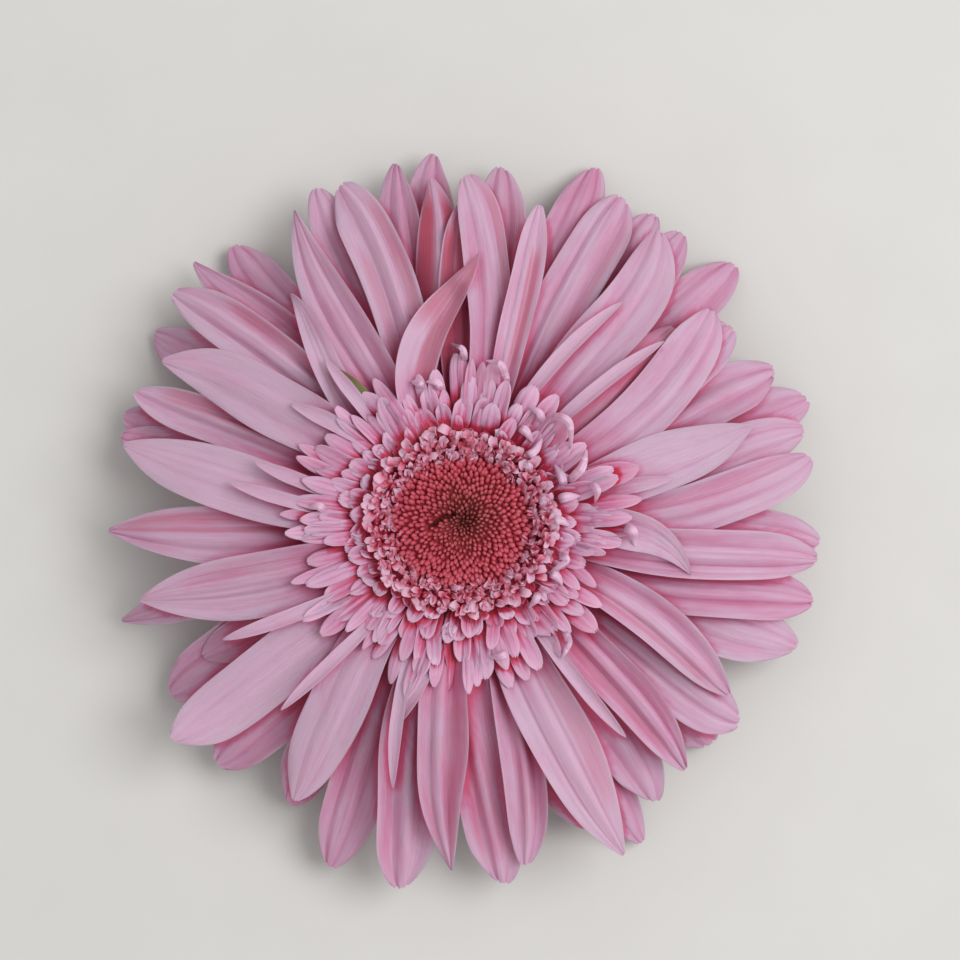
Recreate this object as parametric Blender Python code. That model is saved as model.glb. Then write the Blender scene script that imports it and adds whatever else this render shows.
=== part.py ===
"""Gerbera flower head, cut short under its involucre and lying face up.

Run with: blender --background --python part.py

The origin is the centre of the stalk's cut face, which stands on z = 0, and +Z is the way the
flower looks. Every table and constant is in millimetres and degrees; new_object turns them into
metres. Azimuth 0 is +X and grows anticlockwise as the flower is seen from above.

From the floor up, the head is a stalk stub that flares into the receptacle, two rings of green
bracts that hug it, the long ray florets whose claws meet the receptacle's side wall, three rings
of short trans florets and the domed disc of closed florets. The rays are laid down one after
another, lowest tier first, and each is lifted until it clears what lies under it.
"""

import math
from collections import namedtuple

import bpy
import numpy as np

MM = 0.001
GAP = 0.3  # air kept between pieces that meet
FLOOR_GAP = 0.05  # air under the tips that droop to the surface

# Receptacle and stalk stub: radius and height of each corner of the turned outline.
STALK_RADIUS = 3.6
WALL_RADIUS = 14.0
WALL_TOP = 21.4
RECEPTACLE_SIDES = 48
RECEPTACLE_OUTLINE = (
    (STALK_RADIUS, 0.0), (STALK_RADIUS, 4.2), (5.0, 5.6), (8.4, 7.6), (11.6, 10.6),
    (13.4, 13.4), (WALL_RADIUS, 15.0), (WALL_RADIUS, WALL_TOP - 0.6), (13.4, WALL_TOP),
)

# Ray florets. ROOT_Z is the height of each tier's claws on the wall, MID_Z half way out, TIP_Z at the tip.
ROOT_RADIUS = WALL_RADIUS + GAP
INNER_RADIUS = 26.0  # where the rays come out from under the trans florets
ROOT_Z = (15.6, 16.8, 18.0, 19.2)
MID_Z = (12.4, 15.2, 17.4, 19.6)
TIP_Z = (0.6, 5.0, 10.0, 14.5)
TIP_STEP = 0.9  # the tips of one tier differ by up to three of these
RAY_THICKNESS = 0.7
CLAW_WIDTH = 0.3  # share of the full width at the root
WIDEST_AT = 0.6  # share of the length
ROOT_BEND = 0.35  # how far the claw turns back, as a share of the turn from inner to tip
STATIONS = (0.0, 0.13, 0.34, 0.58, 0.8, 0.93, 1.0)
ACROSS = (-1.0, -0.5, 0.0, 0.5, 1.0)

# Inner and tip azimuth, reach, width, tier, cup, bank, sharpness.
# Cup is how high the edges stand as a share of half the width, bank turns the blade about its length,
# and sharpness runs from 0, a blunt tip, to 1, a pointed one.
Ray = namedtuple("Ray", "inner tip reach width tier cup bank sharp")
RAYS = (
    Ray(358.5, 357.0, 56.0, 8.3, 1, 0.20, 0, 0.3),
    Ray(1.5, 11.5, 55.0, 7.6, 2, 0.15, -8, 0.2),
    Ray(11.0, 15.5, 55.5, 7.3, 1, 0.25, 5, 0.2),
    Ray(18.0, 20.5, 58.0, 8.4, 0, 0.15, 0, 0.2),
    Ray(18.0, 19.0, 47.5, 8.8, 3, 0.10, 0, 0.8),
    Ray(25.5, 26.5, 54.5, 8.3, 1, 0.15, 0, 0.3),
    Ray(33.0, 36.5, 52.5, 8.1, 1, 0.15, 0, 0.1),
    Ray(31.0, 41.0, 51.5, 8.0, 2, 0.20, 0, 0.2),
    Ray(44.5, 44.5, 60.0, 8.0, 0, 0.15, 0, 0.2),
    Ray(49.0, 53.5, 58.0, 7.5, 1, 0.20, 0, 0.3),
    Ray(53.5, 56.5, 55.0, 9.0, 2, 0.20, 0, 0.5),
    Ray(59.0, 58.5, 58.0, 7.8, 0, 0.20, 0, 0.2),
    Ray(65.5, 64.0, 58.0, 8.5, 1, 0.25, 0, 0.2),
    Ray(73.0, 70.0, 60.5, 7.6, 0, 0.20, 0, 0.3),
    Ray(74.0, 76.5, 51.0, 5.6, 3, 0.55, 0, 0.4),
    Ray(82.0, 83.5, 57.0, 7.8, 0, 0.20, 0, 0.3),
    Ray(81.5, 89.5, 54.5, 6.8, 2, 0.35, 0, 0.2),
    Ray(92.0, 94.5, 59.5, 8.4, 0, 0.20, 0, 0.6),
    Ray(103.0, 100.5, 58.0, 7.4, 0, 0.25, 0, 0.6),
    Ray(105.5, 110.0, 56.5, 8.0, 2, 0.30, 0, 0.1),
    Ray(111.5, 113.0, 57.5, 7.3, 1, 0.30, 12, 0.4),
    Ray(121.0, 118.0, 55.5, 7.4, 2, 0.25, 0, 0.9),
    Ray(128.0, 129.0, 57.5, 7.8, 0, 0.15, 0, 0.3),
    Ray(131.0, 135.5, 59.0, 7.5, 1, 0.30, 0, 0.8),
    Ray(137.0, 141.0, 58.0, 7.6, 2, 0.25, 0, 0.3),
    Ray(146.0, 148.0, 57.5, 8.2, 0, 0.15, 0, 0.2),
    Ray(148.0, 151.5, 52.5, 9.2, 3, 0.10, 0, 0.8),
    Ray(157.0, 157.5, 55.0, 6.2, 2, 0.35, 0, 0.2),
    Ray(161.5, 162.0, 56.0, 8.0, 0, 0.20, 0, 0.3),
    Ray(171.5, 166.5, 53.5, 9.0, 3, 0.12, 0, 0.7),
    Ray(183.0, 180.5, 55.0, 9.0, 2, 0.30, 0, 0.9),
    Ray(195.5, 193.0, 50.5, 9.4, 3, 0.25, 0, 0.9),
    Ray(190.0, 195.5, 55.0, 7.5, 1, 0.15, 0, 0.8),
    Ray(206.0, 209.5, 53.0, 8.8, 0, 0.15, 0, 0.2),
    Ray(217.0, 217.0, 55.5, 8.8, 3, 0.12, 0, 0.3),
    Ray(226.5, 224.0, 53.5, 8.8, 0, 0.15, 0, 0.2),
    Ray(232.5, 239.0, 49.5, 9.0, 3, 0.12, 0, 0.6),
    Ray(246.0, 248.5, 57.0, 8.8, 0, 0.15, 0, 0.4),
    Ray(258.0, 260.5, 57.0, 9.3, 1, 0.40, 0, 0.2),
    Ray(264.5, 268.5, 53.5, 7.2, 2, 0.35, 0, 0.9),
    Ray(273.5, 277.0, 54.5, 7.5, 1, 0.30, 0, 0.1),
    Ray(284.0, 281.5, 51.5, 6.2, 2, 0.45, 0, 0.2),
    Ray(294.5, 296.5, 56.5, 9.4, 3, 0.15, 0, 0.8),
    Ray(302.5, 299.5, 57.0, 6.8, 0, 0.20, 0, 0.4),
    Ray(303.0, 305.0, 52.5, 8.3, 1, 0.20, 0, 0.3),
    Ray(315.5, 313.0, 51.5, 6.8, 2, 0.35, 0, 0.6),
    Ray(322.0, 319.0, 52.0, 8.4, 0, 0.15, 0, 0.0),
    Ray(325.5, 324.0, 53.0, 8.9, 1, 0.25, 0, 0.2),
    Ray(333.0, 327.5, 50.0, 6.8, 2, 0.35, 0, 0.7),
    Ray(338.0, 340.0, 55.5, 9.2, 0, 0.15, 0, 0.4),
    Ray(340.5, 348.5, 56.0, 8.3, 1, 0.30, 0, 0.2),
    Ray(351.0, 354.5, 55.5, 7.2, 2, 0.30, 0, 0.3),
    Ray(102.5, 86.5, 42.0, 5.8, 3, 0.60, 0, 1.0),
)

# Rings of florets and bracts, each one closed crown: lobes, first lobe's azimuth, share of the reach
# at which neighbours part, thickness, the line from root to lobe tip as (radius, height) pairs, and
# how much higher than that line the tips stand at UPRIGHT_AT, where the short florets are most upright.
Crown = namedtuple("Crown", "name lobes start web thickness line stand colour")
UPRIGHT_AT = 25.0
DRAWN_IN = 0.35  # how far an upright tip comes in, as a share of how much higher it stands
CROWN_STATIONS = (0.0, 0.33, 0.67, 1.0)
PALE_PINK = (0.72, 0.38, 0.50)
PINK = (0.52, 0.26, 0.36)
GREEN = (0.20, 0.28, 0.09)
CORAL = (0.60, 0.13, 0.15)
BRACT_RINGS = (
    Crown("bracts_outer", 13, 0.0, 0.34, 0.7,
          ((4.9, 4.3), (8.6, 5.4), (12.2, 8.4), (14.8, 11.4)), 0.0, GREEN),
    Crown("bracts_inner", 15, 8.0, 0.42, 0.7,
          ((7.4, 5.8), (10.7, 8.4), (13.4, 11.4), (16.2, 14.2)), 0.0, GREEN),
)
TRANS_RINGS = (
    Crown("trans_florets_outer", 32, 3.0, 0.45, 0.8,
          ((13.0, 21.9), (14.4, 23.2), (18.6, 23.3), (27.5, 20.6)), 7.0, PALE_PINK),
    Crown("trans_florets_middle", 30, 9.0, 0.45, 0.8,
          ((11.6, 21.9), (12.3, 24.4), (15.2, 25.6), (22.0, 24.8)), 7.0, PALE_PINK),
    Crown("trans_florets_inner", 26, 0.0, 0.45, 0.8,
          ((10.2, 21.9), (10.5, 25.2), (12.2, 26.9), (16.4, 27.5)), 5.0, PALE_PINK),
)

# Disc of closed florets
DISC_RADIUS = 9.6
DISC_EDGE = 22.8
DISC_TOP = 25.6
DISC_DIMPLE = 2.2
DIMPLE_RADIUS = 2.4
DISC_KNOB = 0.25
DISC_RINGS = 10
DISC_SIDES = 36


def lerp(a, b, share):
    return a + (b - a) * share


def through_three(share, first, middle, last, at=0.5):
    """Value of the parabola that is first at 0, middle at the share "at" and last at 1."""
    return (
        first * (share - at) * (share - 1.0) / at
        + middle * share * (share - 1.0) / (at * (at - 1.0))
        + last * share * (share - at) / (1.0 - at)
    )


# ---------------------------------------------------------------- the pile of florets

CELL = 0.25
REACH_MAX = 64.0
EASE_PASSES = 3
CELLS = int(2 * REACH_MAX / CELL)


def cells_under(a, b, c):
    """Cells of the plan grid that a triangle covers, and the triangle's height in each."""
    low = np.floor((np.minimum(np.minimum(a, b), c)[:2] + REACH_MAX) / CELL).astype(int)
    high = np.ceil((np.maximum(np.maximum(a, b), c)[:2] + REACH_MAX) / CELL).astype(int)
    columns, rows = np.meshgrid(np.arange(low[0], high[0] + 1), np.arange(low[1], high[1] + 1))
    x = columns * CELL - REACH_MAX
    y = rows * CELL - REACH_MAX
    area = (b[0] - a[0]) * (c[1] - a[1]) - (c[0] - a[0]) * (b[1] - a[1])
    if abs(area) < 1e-6:
        return columns[:0], rows[:0], x[:0]
    to_b = ((x - a[0]) * (c[1] - a[1]) - (c[0] - a[0]) * (y - a[1])) / area
    to_c = ((b[0] - a[0]) * (y - a[1]) - (x - a[0]) * (b[1] - a[1])) / area
    edge = -0.5 * CELL * CELL / max(abs(area), 0.1)
    inside = (to_b >= edge) & (to_c >= edge) & (to_b + to_c <= 1.0 - edge)
    height = a[2] + to_b * (b[2] - a[2]) + to_c * (c[2] - a[2])
    return columns[inside], rows[inside], height[inside]


def lay_on(pile, upper, lower, closed, tip_keep):
    """Lift a blade until it clears the pile, and add it to the pile.

    upper and lower are arrays of stations by points by xyz. An open blade, one ray, is lifted by
    whole stations, so it keeps its cross-sections. A closed one, a crown, is lifted point by point.
    """
    stations, count = upper.shape[:2]
    lift = np.zeros((stations, count))
    quads = [(i, j) for i in range(stations - 1) for j in range(count if closed else count - 1)]
    for i, j in quads:
        k = (j + 1) % count
        corners = ([i, i, i + 1, i + 1], [j, k, k, j])
        lift[corners] = np.maximum(lift[corners], need_under(pile, *lower[corners]))
    if not closed:
        lift[:] = lift.max(axis=1, keepdims=True)
    lift[-1] = np.maximum(lift[-1], lift[-2] * tip_keep)
    for _ in range(EASE_PASSES):
        eased = lift.copy()
        eased[1:-1] = np.maximum(lift[1:-1], 0.5 * (lift[:-2] + lift[2:]))
        if closed:
            eased = np.maximum(eased, 0.5 * (np.roll(lift, 1, axis=1) + np.roll(lift, -1, axis=1)))
        lift = eased
    raised = np.zeros_like(upper)
    raised[:, :, 2] = lift
    upper = upper + raised
    lower = lower + raised
    for i, j in quads:
        k = (j + 1) % count
        add_under(pile, upper[i, j], upper[i, k], upper[i + 1, k], upper[i + 1, j])
    return upper, lower


def need_under(pile, a, b, c, d):
    """How far a four-cornered patch has to rise to clear the pile."""
    need = 0.0
    for triangle in ((a, b, c), (a, c, d)):
        columns, rows, height = cells_under(*triangle)
        if len(height):
            need = max(need, float(np.max(pile[rows, columns] + GAP - height)))
    return need


def add_under(pile, a, b, c, d):
    """Raise the pile to a four-cornered patch."""
    for triangle in ((a, b, c), (a, c, d)):
        columns, rows, height = cells_under(*triangle)
        np.maximum.at(pile, (rows, columns), height)


# ---------------------------------------------------------------- ray florets


def ray_width(share, sharp):
    """Width at a share of the length, as a share of the widest."""
    if share <= WIDEST_AT:
        grown = share / WIDEST_AT
        return CLAW_WIDTH + (1.0 - CLAW_WIDTH) * grown * (2.0 - grown)
    past = (share - WIDEST_AT) / (1.0 - WIDEST_AT)
    return max((1.0 - past ** lerp(3.2, 1.8, sharp)) ** lerp(0.5, 0.9, sharp), 0.16)


def ray_axis(ray):
    """Points along the middle of a ray floret, from its claw to its tip."""
    turn = ray.tip - ray.inner
    root = ray.inner - ROOT_BEND * turn
    inner_share = (INNER_RADIUS - ROOT_RADIUS) / (ray.reach - ROOT_RADIUS)
    tip_height = TIP_Z[ray.tier] + TIP_STEP * (RAYS.index(ray) * 5 % 4)
    points = []
    for share in STATIONS:
        radius = lerp(ROOT_RADIUS, ray.reach, share)
        azimuth = math.radians(through_three(share, root, ray.inner, ray.tip, inner_share))
        height = through_three(share, ROOT_Z[ray.tier], MID_Z[ray.tier], tip_height)
        points.append((radius * math.cos(azimuth), radius * math.sin(azimuth), height))
    return np.array(points)


def ray_faces(ray):
    """Upper and lower rows of points of a ray floret; the two edges are shared by both."""
    axis = ray_axis(ray)
    along = np.gradient(axis[:, :2], axis=0)
    along /= np.linalg.norm(along, axis=1)[:, None]
    upper = np.zeros((len(STATIONS), len(ACROSS), 3))
    lower = np.zeros_like(upper)
    for i, share in enumerate(STATIONS):
        half = 0.5 * ray.width * ray_width(share, ray.sharp)
        side = np.array((-along[i, 1], along[i, 0]))
        for j, across in enumerate(ACROSS):
            plan = axis[i, :2] + side * half * across
            cupped = axis[i, 2] + half * (ray.cup * across ** 2 + math.tan(math.radians(ray.bank)) * across)
            swell = 0.5 * RAY_THICKNESS * (1.0 - across ** 2)
            upper[i, j] = (plan[0], plan[1], cupped + swell)
            lower[i, j] = (plan[0], plan[1], cupped - swell)
    return upper, lower


def ray_mesh(upper, lower):
    """Closed loft through one ring of points for each station."""
    rings = []
    for i in range(len(upper)):
        rings.append([tuple(p) for p in upper[i]] + [tuple(p) for p in lower[i][-2:0:-1]])
    size = len(rings[0])
    vertices = [point for ring in rings for point in ring]
    faces = []
    for i in range(len(rings) - 1):
        for j in range(size):
            k = (j + 1) % size
            faces.append((i * size + j, (i + 1) * size + j, (i + 1) * size + k, i * size + k))
    last = (len(rings) - 1) * size
    faces.append(tuple(range(size)))
    faces.append(tuple(range(last + size - 1, last - 1, -1)))
    return vertices, faces


def build_rays(pile):
    """One object for each ray floret, lowest tier first."""
    order = sorted(range(len(RAYS)), key=lambda number: RAYS[number].tier)
    for number in order:
        ray = RAYS[number]
        upper, lower = lay_on(pile, *ray_faces(ray), False, 0.9)
        vertices, faces = ray_mesh(upper, lower)
        shade = 1.0 + 0.05 * ((number * 7) % 5 - 2)
        colour = tuple(min(channel * shade, 1.0) for channel in PINK)
        new_object("ray_floret_%02d" % (number + 1), vertices, faces, colour, 0.7, smooth=True)


# ---------------------------------------------------------------- crowns


def point_on(line, share):
    """Point and unit normal at a share of the length of a line of (radius, height) pairs."""
    points = np.array(line)
    steps = np.linalg.norm(np.diff(points, axis=0), axis=1)
    lengths = np.concatenate(([0.0], np.cumsum(steps)))
    at = share * lengths[-1]
    before = np.array([np.interp(max(at - 0.6, 0.0), lengths, points[:, k]) for k in (0, 1)])
    after = np.array([np.interp(min(at + 0.6, lengths[-1]), lengths, points[:, k]) for k in (0, 1)])
    here = np.array([np.interp(at, lengths, points[:, k]) for k in (0, 1)])
    direction = (after - before) / np.linalg.norm(after - before)
    return here, np.array((-direction[1], direction[0]))


def crown_faces(crown):
    """Upper and lower rows of a ring of lobes; every row runs all the way round."""
    lobe_shape = (crown.web, lerp(crown.web, 1.0, 0.84), 1.0, lerp(crown.web, 1.0, 0.84))
    columns = crown.lobes * len(lobe_shape)
    upper = np.zeros((len(CROWN_STATIONS), columns, 3))
    lower = np.zeros_like(upper)
    for j in range(columns):
        azimuth = math.radians(crown.start + 360.0 * (j - 2) / columns)
        upright = max(0.0, math.cos(azimuth - math.radians(UPRIGHT_AT)))
        for i, share in enumerate(CROWN_STATIONS):
            reached = share * lobe_shape[j % len(lobe_shape)]
            here, normal = point_on(crown.line, reached)
            stand = crown.stand * upright * reached ** 2
            half = 0.5 * crown.thickness * (1.0 - 0.55 * share)
            for rows, offset in ((upper, half), (lower, -half)):
                radius, height = here + normal * offset + np.array((-DRAWN_IN * stand, stand))
                rows[i, j] = (radius * math.cos(azimuth), radius * math.sin(azimuth), height)
    return upper, lower


def crown_mesh(upper, lower):
    """Closed body between the two faces of a crown."""
    count = upper.shape[1]
    loops = list(upper) + list(lower[::-1])
    vertices = [tuple(point) for loop in loops for point in loop]
    faces = []
    for i in range(len(loops)):
        n = (i + 1) % len(loops)
        for j in range(count):
            k = (j + 1) % count
            faces.append((i * count + j, n * count + j, n * count + k, i * count + k))
    return vertices, faces


def build_crown(crown, pile=None):
    upper, lower = crown_faces(crown)
    if pile is not None:
        upper, lower = lay_on(pile, upper, lower, True, 1.0)
    vertices, faces = crown_mesh(upper, lower)
    new_object(crown.name, vertices, faces, crown.colour, 0.75, smooth=True)


# ---------------------------------------------------------------- receptacle and disc


def turned(outline, sides):
    """Closed body of revolution; the first and last corners are closed by flat faces."""
    vertices = []
    faces = []
    for radius, height in outline:
        for i in range(sides):
            azimuth = 2.0 * math.pi * i / sides
            vertices.append((radius * math.cos(azimuth), radius * math.sin(azimuth), height))
    for level in range(len(outline) - 1):
        for i in range(sides):
            j = (i + 1) % sides
            low, high = level * sides, (level + 1) * sides
            faces.append((low + i, low + j, high + j, high + i))
    last = (len(outline) - 1) * sides
    faces.append(tuple(range(sides - 1, -1, -1)))
    faces.append(tuple(range(last, last + sides)))
    return vertices, faces


def build_receptacle():
    vertices, faces = turned(RECEPTACLE_OUTLINE, RECEPTACLE_SIDES)
    new_object("receptacle", vertices, faces, GREEN, 0.8)


def disc_height(radius):
    """Height of the dome of closed florets, which sinks to a dimple in the middle."""
    share = radius / DISC_RADIUS
    dome = DISC_TOP - (DISC_TOP - DISC_EDGE) * share ** 3
    return dome - DISC_DIMPLE * math.exp(-((radius / DIMPLE_RADIUS) ** 2))


def build_disc():
    """Dome whose rings of knobs are the closed florets."""
    base = WALL_TOP + GAP
    vertices = []
    faces = []
    for ring in range(1, DISC_RINGS + 1):
        radius = DISC_RADIUS * ring / DISC_RINGS
        for i in range(DISC_SIDES):
            azimuth = 2.0 * math.pi * (i + 0.5 * (ring % 2)) / DISC_SIDES
            knob = DISC_KNOB * (1.0 if (i + ring) % 2 else -1.0) if ring < DISC_RINGS else 0.0
            height = disc_height(radius) + knob
            vertices.append((radius * math.cos(azimuth), radius * math.sin(azimuth), height))
    for ring in range(DISC_RINGS - 1):
        for i in range(DISC_SIDES):
            j = (i + 1) % DISC_SIDES
            a, b = ring * DISC_SIDES + i, ring * DISC_SIDES + j
            faces.append((a, a + DISC_SIDES, b + DISC_SIDES, b))
    rim = (DISC_RINGS - 1) * DISC_SIDES
    foot = len(vertices)
    for x, y, _ in vertices[rim:rim + DISC_SIDES]:
        vertices.append((x, y, base))
    for i in range(DISC_SIDES):
        j = (i + 1) % DISC_SIDES
        faces.append((rim + i, foot + i, foot + j, rim + j))
    faces.append(tuple(range(foot + DISC_SIDES - 1, foot - 1, -1)))
    middle = len(vertices)
    vertices.append((0.0, 0.0, disc_height(0.0)))
    for i in range(DISC_SIDES):
        faces.append((middle, i, (i + 1) % DISC_SIDES))
    new_object("disc_florets", vertices, faces, CORAL, 0.8)


# ---------------------------------------------------------------- objects


def new_object(name, vertices, faces, colour, roughness, smooth=False):
    """Object made of one mesh given in millimetres, with its own material."""
    mesh = bpy.data.meshes.new(name)
    mesh.from_pydata([tuple(value * MM for value in vertex) for vertex in vertices], [], faces)
    mesh.validate()
    for polygon in mesh.polygons:
        polygon.use_smooth = smooth
    part = bpy.data.objects.new(name, mesh)
    bpy.context.scene.collection.objects.link(part)
    material = bpy.data.materials.new(name)
    material.use_nodes = True
    shader = material.node_tree.nodes["Principled BSDF"]
    shader.inputs["Base Color"].default_value = (*colour, 1.0)
    shader.inputs["Roughness"].default_value = roughness
    shader.inputs["Metallic"].default_value = 0.0
    mesh.materials.append(material)
    return part


def clear_scene():
    for thing in list(bpy.data.objects):
        bpy.data.objects.remove(thing, do_unlink=True)


def build():
    clear_scene()
    build_receptacle()
    for crown in BRACT_RINGS:
        build_crown(crown)
    pile = np.full((CELLS + 1, CELLS + 1), FLOOR_GAP - GAP)
    build_rays(pile)
    for crown in TRANS_RINGS:
        build_crown(crown, pile)
    build_disc()


build()
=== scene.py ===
"""Looks of a preserved gerbera head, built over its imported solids.

Azimuth 0 is +X and grows anticlockwise as the flower is seen from above. Lengths are in millimetres and
angles in degrees; Bunch.piece turns the lengths into metres. Florets are laid one after another on a
height map, lowest first, and each is raised and banked until it clears what is under it.
"""

import math
from collections import namedtuple

import bpy
import numpy as np
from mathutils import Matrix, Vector


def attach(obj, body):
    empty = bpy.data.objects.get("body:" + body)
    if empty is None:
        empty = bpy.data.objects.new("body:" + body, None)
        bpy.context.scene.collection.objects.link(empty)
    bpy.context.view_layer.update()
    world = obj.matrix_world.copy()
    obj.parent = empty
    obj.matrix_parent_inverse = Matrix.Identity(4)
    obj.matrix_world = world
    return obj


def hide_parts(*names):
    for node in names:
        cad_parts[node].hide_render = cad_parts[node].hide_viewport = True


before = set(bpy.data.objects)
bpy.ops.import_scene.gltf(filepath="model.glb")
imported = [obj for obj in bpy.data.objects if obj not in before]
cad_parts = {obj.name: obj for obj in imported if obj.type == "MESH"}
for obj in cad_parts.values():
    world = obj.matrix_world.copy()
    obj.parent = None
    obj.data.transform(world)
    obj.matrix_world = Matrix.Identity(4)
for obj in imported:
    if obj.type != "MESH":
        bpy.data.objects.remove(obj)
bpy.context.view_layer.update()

MM = 0.001
GOLDEN_ANGLE = 137.50776
TIP_FALL = 0.9  # 1 would end a rounded tip in a half circle

# ---------------------------------------------------------------- tables

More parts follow.
